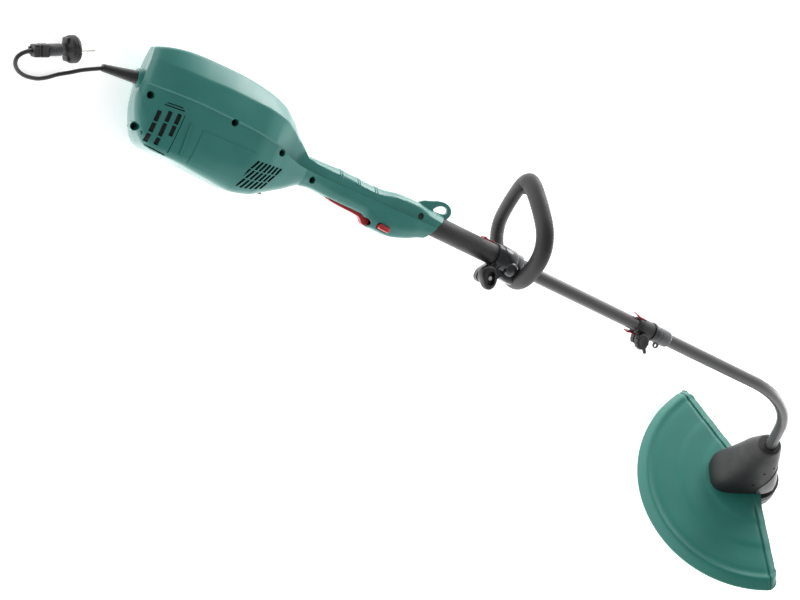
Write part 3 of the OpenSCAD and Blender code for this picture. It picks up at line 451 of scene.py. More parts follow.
plug_at = on_floor(-828, -25, 17.5)
plug_dir = Vector((math.cos(PLUG_TURN), math.sin(PLUG_TURN), 0))
PLUG = axes_matrix(Vector((0, 0, -1)), Vector((-plug_dir.y, plug_dir.x, 0)), plug_dir, plug_at)
ROUTE = [(-753, -16, 12), (-766, -26, 7), (-777, -34, 3.2), (-787, -42, 2.6), (-797, -48, 2.6),
         (-807, -51, 2.6), (-817, -52, 3.2), (-827, -50, 5), (-835, -45, 9), (-838, -38, 13), (-835, -31, 16)]
IN_PLUG = 14 * MM
lead_points = curve_through([tuple(on_lead(45))] + [tuple(on_floor(*p)) for p in ROUTE]
                            + [tuple(plug_at), tuple(plug_at + IN_PLUG * plug_dir)], 3)
lead_data = bpy.data.curves.new("mains_lead", "CURVE")
lead_data.dimensions = "3D"
lead_line = lead_data.splines.new("POLY")
lead_line.points.add(len(lead_points) - 1)
for spot, point in zip(lead_line.points, lead_points):
    spot.co = (*point, 1)
lead_data.bevel_depth = CORD_D / 2 * MM
lead_data.bevel_resolution = 5
lead_data.use_fill_caps = True
lead_data.materials.append(soft_pvc)
lead = bpy.data.objects.new("mains_lead", lead_data)
scene.collection.objects.link(lead)
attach(lead, "motor_unit")
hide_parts("mains_cord")

# Back shell of the plug, with a fork of two stops round the lead, and finger ridges
back_shell = tapered(box(-9, -10, 9, 10, 3, 3), [(0.66, 2), (0.72, 3), (0.73, 8.5), (0.66, 9), (0.66, 10),
                                                 (0.75, 10.5), (0.77, 19), (0.7, 20.5)])
PRONG = [(7.6, -4.4, 2), (3.9, -4.4, 1), (3.9, 4.4, 1), (7.6, 4.4, 2)]
fork = [slab(rounded([(s * x, y, r) for x, y, r in PRONG]), 0.3, 5, "Z") for s in (-1, 1)]
plug_back = joined(back_shell, *fork)
back_ob = piece("plug_back", plug_back, PLUG, "motor_unit", *BLACK, ["plug_clip"], round_edges=0.5)
grip_rings = [(0, 20.4), (7.4, 20.4), (8.2, 21)]
for i in range(6):
    grip_rings += [(r, 21.6 + 2.4 * i + z) for z, r in ((0, 8.4), (0.4, 7.6), (1.2, 7.6), (1.6, 8.4))]
grip_rings += [(8.4, 36.4), (7.2, 37), (6.8, 39), (7, 41.5), (0, 41.5)]
grip_ob = piece("plug_sleeve", lathe(grip_rings), PLUG @ Matrix.Diagonal((1, 0.86, 1, 1)), "motor_unit",
                    *GREY, ["plug_grip"])
# Round contact disc: neck, rim with a groove, domed back with two flats, and sunk pin seats
disc = lathe([(0, 41), (7.4, 41), (7.8, 43.5), (10.4, 45), (14.4, 46.6), (15.8, 48.4), (16.2, 50),
              (16.2, 51.6), (15.6, 52), (15.6, 52.8), (16.2, 53.2), (16.2, 55.6), (15.4, 56.8), (13.6, 57),
              (12.8, 56), (0, 56)], 64)
disc_ob = bare("plug_disc", disc, PLUG)
PIN_X = 9.5
carve(disc_ob, [slab(box(s * 14, -2.6, s * 19, 2.6, 1), 40, 60, "Z") for s in (-1, 1)]
      + [slab(circle(3.2, 24, (s * PIN_X, 0)), 55, 58, "Z") for s in (-1, 1)], PLUG)
finish_piece(disc_ob, "motor_unit", *BLACK, ["plug_body"])
bar = tapered(box(-6.4, -14.4, 6.4, 14.4, 2), [(0.8, 42.6), (0.92, 43.2), (0.97, 44.4), (1, 53)])
bar_ob = piece("plug_rib", bar, PLUG, "motor_unit", *BLACK, round_edges=0.5)
pins = joined(*[lathe([(0, 49), (2.4, 49), (2.4, 74.6), (1.9, 75.7), (0.9, 76), (0, 76)], 24,
                      Matrix.Translation((s * PIN_X, 0, 0))) for s in (-1, 1)])
pins_ob = piece("plug_prongs", pins, PLUG, "motor_unit", nickel, "steel", ["plug_pins"])
# Green collar on the rear face, round the relief
boss_line = [(8.3, -4), (13, -4), (12.2, 0.5), (11.2, 4.2), (10.4, 5), (8.3, 5)]
piece("relief_collar", lathe(boss_line, 40), TOOL @ outlet_place, "motor_unit", *GREEN)
# Tapered strain relief with a collar at the housing and a wider lip where the lead comes out
relief = lathe([(2.7, -1.5), (8.2, -1.5), (8.2, 6.5), (7.9, 7.2), (7.8, 11), (6.3, 27), (5.0, 44),
                (4.7, 47.2), (4.3, 48), (2.7, 48)], 40)
piece("lead_relief", relief, TOOL @ outlet_place, "motor_unit", soft_pvc, "soft_black",
      ["strain_relief"])

# ---- Housing ----
# x, half width, top, crease, lower corner, bottom, and how flat the top and bottom are
STATIONS = [(-712, 13, 45, 28, -9, -17, .6, .6), (-709.5, 17, 46.8, 30, -16, -27, .6, .6),
            (-706, 21.5, 48.6, 31, -23, -37, .6, .6), (-700, 27, 51, 32, -32, -49, .6, .6),
            (-692, 32.5, 53.5, 32.5, -41, -61, .58, .62), (-682, 37.5, 56, 33, -46, -68.5, .55, .68),
            (-670, 42, 58, 33.5, -47.5, -71, .52, .7), (-645, 47, 60, 34.5, -48, -71, .5, .7),
            (-600, 50, 61, 36.5, -46, -74, .5, .6), (-560, 50, 58, 36.5, -40, -76, .5, .5),
            (-532, 45.5, 51.5, 33.5, -36, -70, .5, .5), (-510, 37, 39, 25, -32, -58, .5, .5),
            (-490, 29, 22.5, 14, -26, -46, .5, .5), (-470, 22, 9.5, 1, -20, -32, .5, .5),
            (-445, 18.5, 10.5, 1.0, -17, -28, .5, .5), (-413, 17.5, 12, 3.0, -19, -28.8, .5, .55),
            (-365, 17.5, 11.5, 2.0, -19, -28.6, .5, .55), (-345, 18, 13, 4.0, -28, -41, .5, .5),
            (-318, 20, 18, 7.0, -26, -41.5, .5, .5), (-290, 20.5, 19, 7, -21, -34.5, .5, .5),
            (-270, 19.5, 17.6, 5, -14, -25.5, .42, .6), (-244, 18, 16.8, 4, -9, -18.5, .38, .6),
            (-237, 17, 16.4, 4, -8, -17.5, .38, .6)]
SHARP_AT = (-510, -470)
ROWS = crisp(STATIONS, SHARP_AT)
# x, height of the moulded step, its depth, and how far the crease and lower corner draw in
STEP = [(-712, 1, 0.3, 1, .5), (-697, 1.5, 2, 4, 2.5), (-642, 4, 2.4, 6, 4), (-584, 4, 2.4, 6, 4),
        (-544, 2, 2.2, 5, 3.5), (-525, -1, 1.6, 4, 3), (-500, -6, 0.5, 2, 1), (-480, -9, 0, 0, 0),
        (-237, -3, 0, 0, 0)]
GRIP_RIBS = [-419, -415.5, -390, -386.5, -361, -357.5]
RIB_RISE, RIB_HALF = 0.7, 1.1


def housing_section(x):
    """Closed outline across the housing at x, from the top round the left side."""
    w, top, crease, corner, bottom, flat_top, flat_bottom = level_between(ROWS, x)
    step, depth, draw_up, draw_down = level_between(STEP, x)
    soft = max(0, min(1, (x + 505) / 45))
    r_crease, r_low = 2.2 + 12 * soft, 7 + 6 * soft
    half = [(flat_top * w, top, 4 + 6 * soft), (w - draw_up, crease, r_crease), (w, step + 0.9, 0.7),
            (w - depth, step - 0.9, 0.7), (w - depth - draw_down, corner, r_low),
            ((0.45 + 0.55 * flat_bottom) * w - draw_down / 2, corner - 0.7 * (corner - bottom), r_low),
            (flat_bottom * w - draw_down / 2, bottom, r_low)]
    outline = rounded(half + [(-y, z, r) for y, z, r in reversed(half)])
    rib = max([0] + [RIB_RISE * (1 - abs(x - at) / RIB_HALF) for at in GRIP_RIBS])
    middle = (top + bottom) / 2
    out = []
    for y, z in outline:
        if z > step + 0.5:
            # The shoulder above the step is bevelled off towards the grip
            bevel_from = -529 + 0.58 * (z - 6)
            y = math.copysign(min(abs(y), max(16, 44 - 0.62 * (x - bevel_from))), y)
        rise = rib * max(0, min(1, (z - crease) / 4 + 1))
        reach = math.hypot(y, z - middle)
        out.append((x, y * (1 + rise / reach), middle + (z - middle) * (1 + rise / reach)))
    return out


# Sections close together at the rounded rear end, the shoulder, the sharp turns and the ribs
cuts_at = {REAR_X, -711.4, -710.4, -709, -707.5, -706, -237}
for begin, gap, count in ((-703, 3, 71), (-533, 1.5, 28), (-490, 5, 51)):
    cuts_at |= {begin + gap * i for i in range(count)}
cuts_at |= {x + d for x in SHARP_AT for d in (-1.2, 0, 1.2)}
cuts_at |= {x + d for x in GRIP_RIBS for d in (-RIB_HALF, -0.5, 0, 0.5, RIB_HALF)}
housing = loft([housing_section(x) for x in sorted(cuts_at)], cap=(True, False))
skin_tree = BVHTree.FromBMesh(housing)
# The nose is cut on a slant where the sleeve comes out
slant = Vector((math.cos(math.radians(29)), 0, -math.sin(math.radians(29))))
trim(housing, (-250, 0, 0), slant)
SCREWS = [(-700, -11), (-700, -52), (-597, 1), (-520, -6), (-456, -18), (-282, 2)]


def side_at(x, z):
    """Y of the housing's right side at a place."""
    hit = skin_tree.ray_cast(Vector((x, -120, z)), Vector((0, 1, 0)))[0]
    return hit.y if hit else -15


def draped(corners, rise, sink=0.8, across=24, up=12):
    """Thin plate that lies on the housing's right side within four corners (x, z)."""
    bm = bmesh.new()
    bmesh.ops.create_grid(bm, x_segments=across, y_segments=up, size=1)
    a, b, c, d = (Vector(p) for p in corners)
    for vert in bm.verts:
        u, v = (vert.co.x + 1) / 2, (vert.co.y + 1) / 2
        spot = a.lerp(b, u).lerp(d.lerp(c, u), v)
        vert.co = (spot.x, side_at(spot.x, spot.y) - rise, spot.y)
    bmesh.ops.solidify(bm, geom=bm.faces[:], thickness=rise + sink)
    bmesh.ops.recalc_face_normals(bm, faces=bm.faces)
    return bm


def slots():
    """Vent slots of one side, as outlines in X and Z."""
    out = []
    for x, runs in ((-693.5, ((-60.5, -54),)), (-684.5, ((-64, -53.2), (-51.2, -39.3), (-37.6, -23.5))),
                    (-673.4, ((-62.8, -53.5), (-51.6, -34.8), (-33, -19.4))),
                    (-662.6, ((-46.6, -33), (-31.2, -17.7)))):
        for low, high in runs:
            out.append(box(x - 2.7, low, x + 2.7, high, 1, 2))
    for (ax, az), (bx, bz), tall in (((-683, -14.6), (-659, -12.6), 1.5), ((-681, -11.4), (-662, -9.8), 1.3),
                                     ((-686, -67.4), (-657, -69.4), 1.5)):
        out.append(rounded([(ax, az - tall / 2, .6), (bx, bz - tall / 2, .6), (bx, bz + tall / 2, .6),
                            (ax, az + tall / 2, .6)], 2))
    out.append(box(-657.2, -66, -656.2, -17, .4, 2))
    for i in range(7):
        top = Vector((-546 + 6 * i, -28 + 0.7 * i))
        low = Vector((-564 + 6.7 * i, (-67, -67, -66.5, -65, -63, -60.5, -57.5)[i]))
        for a, b in ((0, 0.315), (0.345, 0.655), (0.685, 1)):
            p, q = top.lerp(low, a), top.lerp(low, b)
            out.append(rounded([(p.x - 1.75, p.y, .7), (p.x + 1.75, p.y, .7), (q.x + 1.75, q.y, .7),
                                (q.x - 1.75, q.y, .7)], 2))
    return out


def turned(outline, angle):
    c, s = math.cos(angle), math.sin(angle)
    return [(x * c - y * s, x * s + y * c) for x, y in outline]


def lock_line(long_share, high_share):
    """Outline of the lock button, scaled about its centre."""
    return [(LOCK[0] + x * long_share, LOCK[1] + z * high_share) for x, z in LOCK_SHAPE]


LOCK = (-329.3, -34.6)
LOCK_SHAPE = turned(box(-9.4, -3.7, 9.4, 3.7, 3.7, 8), -0.06)
WALL = 2.4
for name, side, node in (("right_shell", -1, "housing_right"), ("left_shell", 1, "housing_left")):
    half = housing.copy()
    trim(half, (0, side * 0.2, 0), (0, side, 0), inner=True)
    shell = bare(name, half, TOOL)
    near, far = sorted((side * 22, side * 80))
    cutters = [slab(outline, near, far) for outline in slots()]
    # Opening for the trigger, and its wider end round the bulb
    cutters.append(slab(box(-421, -60, -344.5, -24, 1), *sorted((side * -2, side * 5.4))))
    cutters.append(slab(rounded([(-378, -31, 1), (-354, -31, 1), (-348, -33, 3), (-346, -38, 3),
                                 (-345.5, -60, 1), (-378, -60, 1)]), *sorted((side * -2, side * 40))))
    # Seat of the lead's relief in the rear face
    cutters.append(lathe([(0, -12), (8.6, -12), (8.6, 12), (0, 12)], 32, outlet_place))
    if side < 0:
        cutters += [cross(x, z, 4.6, -90, side_at(x, z) + 8) for x, z in SCREWS]
        cutters.append(slab(lock_line(1.12, 1.2), -30, -9))
    thicken(shell, WALL)
    carve(shell, cutters, TOOL)
    finish_piece(shell, "motor_unit", *GREEN, [node], angle=30)

# Thick end of the nose, bored for the sleeve
nose_end = housing.copy()
trim(nose_end, (-250.9, 0, 0), slant, fill=True)
trim(nose_end, (-276, 0, 0), (-1, 0, 0), fill=True)
bmesh.ops.scale(nose_end, vec=(1, 0.96, 0.96), verts=nose_end.verts)
nose_ob = bare("nose_end", nose_end, TOOL)
carve(nose_ob, [slab(circle(15.1, 48), -300, -200, "X")], TOOL)
finish_piece(nose_ob, "motor_unit", *GREEN)

# Deep wells of the housing screws, and the screws at their bottoms
wells, heads = [], []
for x, z in SCREWS:
    out = -side_at(x, z)
    place = Matrix.Translation((x, 0, z)) @ TO_RIGHT
    wells.append(lathe([(4.5, out - 0.9), (5.4, out - 0.9), (5.4, out - 11), (0, out - 11), (0, out - 10),
                        (4.5, out - 10)], 28, place))
    heads.append(lathe([(0, out - 10.2), (3.4, out - 10.2), (3.6, out - 9.6), (3.4, out - 8),
                        (2.4, out - 7.4), (1.7, out - 7.4), (1.5, out - 9), (0, out - 9)], 24, place))
piece("screw_wells", joined(*wells), TOOL, "motor_unit", *GREEN)
piece("case_screws", joined(*heads), TOOL, "motor_unit", black_steel, "steel", ["housing_screws"])


def filter_sheets(sign):
    """Dark gauze behind the vents of one side, clear of the wall."""
    sheets = []
    for corners in ([(-688, -64), (-652, -67), (-652, -8), (-688, -10)],
                    [(-572, -68), (-512, -62), (-500, -20), (-552, -25)]):
        sheet = draped(corners, -3.2, 3.6)
        if sign > 0:
            bmesh.ops.scale(sheet, vec=(1, -1, 1), verts=sheet.verts)
            bmesh.ops.reverse_faces(sheet, faces=sheet.faces)
        sheets.append(sheet)
    return sheets


piece("vent_filters", joined(*filter_sheets(-1), *filter_sheets(1)), TOOL, "motor_unit", *BLACK,
      ["filter_screens"])
# Bare plate where a label would sit, and the ridge ahead of the rear vents
piece("bare_plate", draped([(-629, -67), (-558, -66), (-553, -21), (-629, -24)], 0.35), TOOL, "motor_unit",
      *GREEN)
ridge = draped([(-643.5, -62), (-640.5, -62), (-644.5, -23), (-647.5, -23)], 1.1, up=30, across=4)
piece("side_ridge", ridge, TOOL, "motor_unit", *GREEN, round_edges=0.5)

# Strap eye moulded on the nose
eye_out = curve_through([(-290, 14), (-279, 24.5), (-268, 28.6), (-256, 33.2), (-245, 34.8), (-235, 32),
                         (-230, 25), (-232, 17), (-238, 11.5), (-255, 10), (-272, 10)], 4, True)
eye_hole = curve_through([(-259.5, 19.4), (-257, 23), (-252.5, 26.6), (-247, 28.8), (-241.5, 28.8),
                          (-237.4, 26.8), (-236.6, 23), (-240, 20), (-245.5, 18.6), (-251.5, 18),
                          (-257, 17.8)], 4, True)
eye_rings = ((eye_out, -3), (eye_out, 3), (eye_hole, 3), (eye_hole, -3))
eye = loft([[(x, y, z) for x, z in line] for line, y in eye_rings], closed=True)
piece("strap_eye", eye, TOOL, "motor_unit", *GREEN, round_edges=1)

# ---- Trigger and lock button ----
trigger_side = curve_through([(-417, -27), (-405, -25), (-385, -25.5), (-366, -26.5), (-354, -27.6),
                              (-348.4, -30.4), (-346.6, -35), (-348.4, -39.4), (-352.4, -41.3), (-356.6, -40),
                              (-359.6, -36.8), (-364, -34.2), (-372, -33), (-386, -32.6), (-402, -32),
                              (-415, -30.6)], 4, True)
trigger = slab(trigger_side, -4.4, 4.4)
piece("trigger_blade", trigger, TOOL, "trigger", *RED, ["trigger"], round_edges=1.6)
button = loft([[(x, y, z) for x, z in lock_line(s, s)]
               for y, s in ((-9, 0.96), (-17.6, 0.96), (-19.2, 0.93), (-20.2, 0.82), (-20.5, 0.6))])
piece("lock_slider", button, TOOL, "lock_button", *RED, ["lock_button"])

# ---- Sleeve and shaft ----
TUBE_R, BORE_R = 10, 10.05
sleeve = lathe([(BORE_R, -285), (15, -285), (15, -93.2), (14.2, -92), (12.6, -92), (12.6, -74), (11.8, -72.2),
                (BORE_R, -72.2)], 48, FORWARD)
piece("front_sleeve", sleeve, TOOL, "motor_unit", *BLACK, ["clamp_sleeve"])


BEND_X, BEND_R, BEND_ARC = 438, 229, math.radians(50)


def bend_point(s):
    """Centre of the lower shaft, s mm past the start of its bend, in its own frame."""
    swung = min(s / BEND_R, BEND_ARC)
    x, z = BEND_X + BEND_R * math.sin(swung), -BEND_R * (1 - math.cos(swung))
    rest = max(0, s - BEND_R * BEND_ARC)
    return (x + rest * math.cos(BEND_ARC), 0, z - rest * math.sin(BEND_ARC))


bent = [(195, 0, 0), (300, 0, 0), (420, 0, 0)] + [bend_point(4 * i) for i in range(51)] + [bend_point(306.4)]
tube = sweep_path(bent, lambda i: circle(TUBE_R, 40), (0, 1, 0))
piece("bent_tube", tube, LOW, "lower_shaft", coated_tube, "coated_tube", ["lower_tube"])

# ---- Loop handle ----
# Half of the loop's outline, as shares of its height and half width
LOOP = [(0, 0), (.035, .3), (.115, .56), (.235, .83), (.36, .98), (.48, 1), (.6, .91), (.735, .7), (.86, .46),
        (.955, .23), (1, 0)]
LOOP_X, LOOP_FOOT, LOOP_TALL, LOOP_HALF = -92, -23, 145, 58
lean = math.radians(18)


def loop_place(h, w):
    rise = LOOP_FOOT + h * LOOP_TALL
    return (LOOP_X - rise * math.sin(lean), w * LOOP_HALF, rise * math.cos(lean))


loop_path = [loop_place(*p) for p in curve_through(LOOP + [(h, -w) for h, w in LOOP[-2:0:-1]], 9, True)]


def grip_section(i):
    """Grip across its line: an oval set askew, thicker at the top, with fine ribs over the upper part."""
    share = i / len(loop_path)
    height = 1 - abs(2 * share - 1)
    ribs = 0.3 * (-1) ** i if 0.42 < height < 0.97 else 0
    grow = 1 + 0.09 * max(0, height - 0.8) / 0.2
    return turned([((12.6 * grow + ribs) * c, (9.7 * grow + ribs) * s) for c, s in circle(1, 28)],
                  math.radians(50))


loop_up = (math.cos(lean), 0, math.sin(lean))
handle = sweep_path(loop_path, grip_section, loop_up, closed=True)
handle_ob = bare("loop_grip", handle, TOOL)
carve(handle_ob, [slab(circle(16.2, 40), -160, -40, "X")], TOOL)
finish_piece(handle_ob, "loop", grip_rubber, "soft_black", ["loop_handle"])

# Clamp barrel with a step collar at the front, ears for the bolt, and a filleted saddle
barrel = lathe([(16.1, -138), (17, -138), (17.6, -137), (17.6, -129), (18.2, -128.2), (19, -127), (19, -106),
                (18.2, -104.5), (17.2, -104.3), (17.2, -92.8), (16.6, -92), (16.1, -92)], 56, FORWARD)
ears = [slab(rounded([(-113, -13, 2), (-137, -13, 4), (-149, -28, 6), (-149.5, -38, 5), (-144, -43.6, 5),
                      (-134, -43.6, 6), (-122, -33, 8), (-113, -18, 3)]), *pair)
        for pair in ((1.4, 9), (-9, -1.4))]
piece("clamp_barrel", joined(barrel, *ears), TOOL, "loop", *CLAMP, ["loop_clamp"], round_edges=0.9)
# Saddle between the barrel and the grip's lowest part
saddle_line = rounded([(-13, -15, 4), (13, -15, 4), (10, -29, 7), (-10, -29, 7)], 6)
SADDLE = ((-115, 0.84, -1), (-112, 0.94, 0), (-104, 1, 0), (-94, 1, 0), (-84, 0.96, 0), (-79, 0.86, -1.5))
saddle = loft([[(x, y * s, z * s + dz) for y, z in saddle_line] for x, s, dz in SADDLE])
saddle_ob = bare("clamp_saddle", saddle, TOOL)
carve(saddle_ob, [slab(circle(16.15, 40), -140, -60, "X")], TOOL)
finish_piece(saddle_ob, "loop", *CLAMP, angle=60)
# Domed cap of the clamp's nut, low on the near side
dome_line = [(0, 0)] + [(11 * math.cos(a), 8 * math.sin(a)) for a in [math.radians(9 * k) for k in range(11)]]
dome_place = Matrix.Translation((-109, -14, -10)) @ Matrix.Rotation(math.radians(115), 4, "X")
piece("clamp_dome", lathe(dome_line, 36, dome_place), TOOL, "loop", *CLAMP, angle=60)
# Web inside the grip's apex
web_line = [(-6, 0.87), (6, 0.87), (11, 0.945), (-11, 0.945)]
web = loft([[tuple(Vector(loop_place(h, w / LOOP_HALF)) + Vector(loop_up) * t) for w, h in web_line]
            for t in (-5, 5)])
piece("grip_web", web, TOOL, "loop", grip_rubber, "soft_black", round_edges=2)


def polar(reach, count=96):
    """Outline from its reach as a function of the angle."""
    around = [2 * math.pi * i / count for i in range(count)]
    return [(reach(a) * math.cos(a), reach(a) * math.sin(a)) for a in around]


def wing_reach(a):
    """An oval set askew, with a lobe at the back."""
    oval = 12 * 17 / math.hypot(17 * math.cos(a - WING_TURN), 12 * math.sin(a - WING_TURN))
    return oval + 5.5 * max(0, math.cos(a - math.radians(165))) ** 5


WING_TURN = 0.35
KNOB = TOOL @ Matrix.Translation((-140, -9.5, -34)) @ TO_RIGHT
wing = tapered(polar(wing_reach), [(0.8, 0), (0.92, 0.6), (0.97, 2.4), (1, 6), (0.97, 10.2), (0.9, 12.2),
                                   (0.78, 13), (0.6, 13)])
wing_ob = bare("wing_knob", wing, KNOB)
carve(wing_ob, [slab(turned(box(-6, -10, 6, 10, 6), WING_TURN), 8.5, 15, "Z")], KNOB)
finish_piece(wing_ob, "loop_knob", *BLACK, ["loop_knob"], angle=50)
tab = slab(rounded([(-159.5, 15.4, .5), (-138.4, 15.4, .5), (-138.4, 17.8, 1), (-154, 17.6, 1),
                    (-156, 18.6, 1), (-159.8, 18.8, 1)]), 3, 13)
piece("loop_catch", tab, TOOL, "loop_tab", *RED, ["loop_tab"], round_edges=0.7)

# ---- Coupling ----
collar = lathe([(BORE_R, 157), (11.4, 157), (12.6, 157.6), (13.1, 158.8), (13.1, 163), (13.5, 163.4),
                (13.5, 186), (13.1, 189.6), (BORE_R, 190)], 48, FORWARD)
jaws = [slab(rounded([(163.5, -9, 1), (180, -9, 1), (177.5, -22, 5), (175, -26.6, 4), (168, -26.6, 4),
                      (165, -22, 5)]), *pair) for pair in ((1, 8), (-8, -1))]
piece("upper_socket", joined(collar, *jaws), TOOL, "motor_unit", *BLACK, ["upper_collar"],
      round_edges=0.6)
seal = lathe([(BORE_R, 190), (14.2, 190), (14.8, 190.6), (14.8, 193.2), (14.2, 193.8), (BORE_R, 193.8)], 48,
             FORWARD)
piece("seal_ring", seal, TOOL, "motor_unit", soft_pvc, "black_plastic", ["collar_seal"])
LUG_X = 211
lower = lathe([(BORE_R, 194.4), (12.6, 194.4), (13, 195), (13, 205), (12.5, 205.4), (12.5, 207), (13, 207.4),
               (13, 224), (12.2, 227.4), (11.2, 228.3), (BORE_R, 228.3)], 48, FORWARD)
lug_ob = bare("lug", cross(LUG_X, -15, 5.6, -1.3, 1.3), TOOL)
carve(lug_ob, [cross(LUG_X, -16.2, 2.5, -8, 8)], TOOL)
lower_bm = bmesh.new()
lower_bm.from_mesh(lug_ob.data)
bmesh.ops.transform(lower_bm, matrix=TOOL.inverted(), verts=lower_bm.verts)
bpy.data.objects.remove(lug_ob)
piece("lower_socket", joined(lower, lower_bm), TOOL, "lower_shaft", *GREY, ["lower_collar"],
      round_edges=0.5)
clip_ring = lathe([(10.1, 159.6), (12.1, 159.6), (12.2, 160), (12.2, 163), (10.1, 163.6)], 40, FORWARD)
wings = []
for turn in (16, -164):
    leaf = slab(rounded([(146.5, 14.4, .6), (152, 12.8, .4), (158, 12.2, .4), (168, 13.2, .4),
                         (168, 14.4, .4), (158, 14.4, .8), (152, 14.8, 1), (149.5, 16, .8),
                         (146.5, 16.2, .8)]), -5, 5)
    bmesh.ops.rotate(leaf, cent=(0, 0, 0), matrix=Matrix.Rotation(math.radians(turn), 3, "X"),
                     verts=leaf.verts)
    wings.append(leaf)
piece("release_ring", joined(clip_ring, *wings), TOOL, "release_clip", *RED, ["release_clip"],
      round_edges=0.5)
SMALL_KNOB = TOOL @ Matrix.Translation((171, -8.3, -21.5)) @ TO_RIGHT
DIAL = [(0.86, 0), (0.97, 0.8), (1, 3), (1, 7), (0.95, 8.4), (0.8, 9), (0.55, 8.6), (0.2, 8.4)]
dial = tapered(polar(lambda a: 12 + 0.4 * math.cos(12 * a)), DIAL)
lever = slab(rounded([(-2, -19, 1.8), (2, -19, 1.8), (2.6, -9, .5), (-2.6, -9, .5)]), 5.6, 8.8, "Z")
bmesh.ops.rotate(lever, cent=(0, 0, 0), matrix=Matrix.Rotation(math.radians(40), 3, "Z"), verts=lever.verts)
piece("coupling_knob", joined(dial, lever), SMALL_KNOB, "collar_knob", *BLACK, ["collar_knob"],
      round_edges=0.4)

# ---- Guard ----
GUARD_FROM, GUARD_SWEEP = math.radians(121.5), math.radians(155.5)
# Outer face, as radius and height: two soft steps, a shallow dip, and a wide bevel to the rim
FACE = [(30, 23), (45, 23), (65, 23), (84, 23), (89, 22.7), (93, 21.9), (97, 20.9), (101, 20.6), (118, 20.6),
        (131, 20.6), (135, 20.3), (139, 19.5), (143, 18.6), (147, 18.3), (165, 18.3), (180, 18.3),
        (184, 17.9), (188, 17.1), (192, 17.1), (196, 18.3), (199, 18.9), (201.5, 18.3), (204, 16.4),
        (208, 12.4), (212, 8.2), (214.8, 5), (216, 3.9), (216.4, 3), (216.4, 0.2)]
# The two straight edges: distance in from the edge, and how far the face is turned down there
EDGE = [(0, -9.5), (0.8, -9), (3, -7.6), (6, -5.6), (9, -3.6), (11.5, -2), (13, -1.6), (14.2, -3.6),
        (15.8, -3.8), (17.4, -1.6), (20, -0.2), (23, 0)]
WIDE = 120
RIM_R = FACE[-1][0]
# Beyond CORNER_FROM the first and last corners are rounded off; inside HUB_R the face stays flat
CORNER_FROM, FIRST_CORNER, LAST_CORNER, HUB_R = 150, 7, 21, 46
guard = bmesh.new()
bmesh.ops.create_grid(guard, x_segments=WIDE, y_segments=len(FACE) - 1, size=1)
for vert in guard.verts:
    column, row = round((vert.co.x + 1) / 2 * WIDE), round((vert.co.y + 1) / 2 * (len(FACE) - 1))
    r, z = FACE[row]
    first = column <= WIDE // 2
    k = min(column, WIDE - column)
    inset = EDGE[min(k, len(EDGE) - 1)][0]
    round_off = FIRST_CORNER if first else LAST_CORNER
    if inset < round_off and r > CORNER_FROM:
        share = (r - CORNER_FROM) / (RIM_R - CORNER_FROM)
        r -= (round_off - math.sqrt(round_off ** 2 - (round_off - inset) ** 2)) * share
    off = math.asin(min(1, inset / r))
    middle = max(0, k - len(EDGE) + 1) / (WIDE - 2 * len(EDGE) + 2)
    free = (GUARD_SWEEP - 2 * math.asin(min(1, EDGE[-1][0] / r))) * middle
    angle = GUARD_FROM + off + free if first else GUARD_FROM + GUARD_SWEEP - off - free
    if r > HUB_R:
        z = max(0.2, z + EDGE[min(k, len(EDGE) - 1)][1] * min(1, (r - HUB_R) / 8))
    vert.co = (r * math.cos(angle), r * math.sin(angle), z)
bmesh.ops.recalc_face_normals(guard, faces=guard.faces)
if sum(f.normal.z * f.calc_area() for f in guard.faces) < 0:
    bmesh.ops.reverse_faces(guard, faces=guard.faces)
# Steel blade that trims the line, inside the first straight edge
blade = slab([(154, 3.4), (178, 3.4), (178, 4.6), (154, 4.6)], -2, 8, "Z")
bmesh.ops.rotate(blade, cent=(0, 0, 0), matrix=Matrix.Rotation(GUARD_FROM, 3, "Z"), verts=blade.verts)
piece("line_blade", blade, HEAD, "lower_shaft", zinc_steel, "steel", ["line_cutter"], round_edges=0.3)
guard_ob = bare("guard_shield", guard, HEAD)
thicken(guard_ob, 2.5)
finish_piece(guard_ob, "lower_shaft", guard_pp, "dark_green_plastic", ["guard"], round_edges=0.5, angle=50)

# ---- Head ----
# Sections of the boot up the spool's axis: height, centre, half length, half width, squareness
BOOT = [(22.6, -26, 60, 40, 0.58), (40, -26, 59, 40, 0.58), (58, -24, 54.5, 38.5, 0.62),
        (78, -20, 47.5, 35.6, 0.7), (98, -17, 42, 32.6, 0.8), (116, -14, 38, 30, 0.9),
        (130, -12, 34.5, 27.5, 0.96), (140, -9, 30, 24.8, 1), (148, -6, 25.5, 22.4, 1),
        (153, -4, 22.4, 20.8, 1), (155, -3.6, 21, 19.6, 1)]


def boot_section(row, share=1.0, drop=0.0):
    z, cx, a, b, square = row
    return [(cx + math.copysign(abs(c) ** square, c) * a * share,
             math.copysign(abs(s) ** square, s) * b * share, z - drop) for c, s in circle(1, 56)]


boot_rows = curve_through(BOOT, 3)
rings = [boot_section(boot_rows[0], 0.96)] + [boot_section(row) for row in boot_rows]
rings += [boot_section(boot_rows[-1], s, d) for s, d in ((0.96, -0.9), (0.9, -1.4), (0.8, -1.5), (0.6, -1.5))]
boot = loft(rings)
boot_ob = bare("head_boot", boot, HEAD)
carve(boot_ob, [slab(circle(9.9, 40), 118, 200, "Z")]
      + [cross(x, z, 2.3, -60, 60) for x, z in ((-16, 60), (-2, 96), (14, 104))], HEAD)
finish_piece(boot_ob, "lower_shaft", *BLACK, ["head_housing"], angle=42)
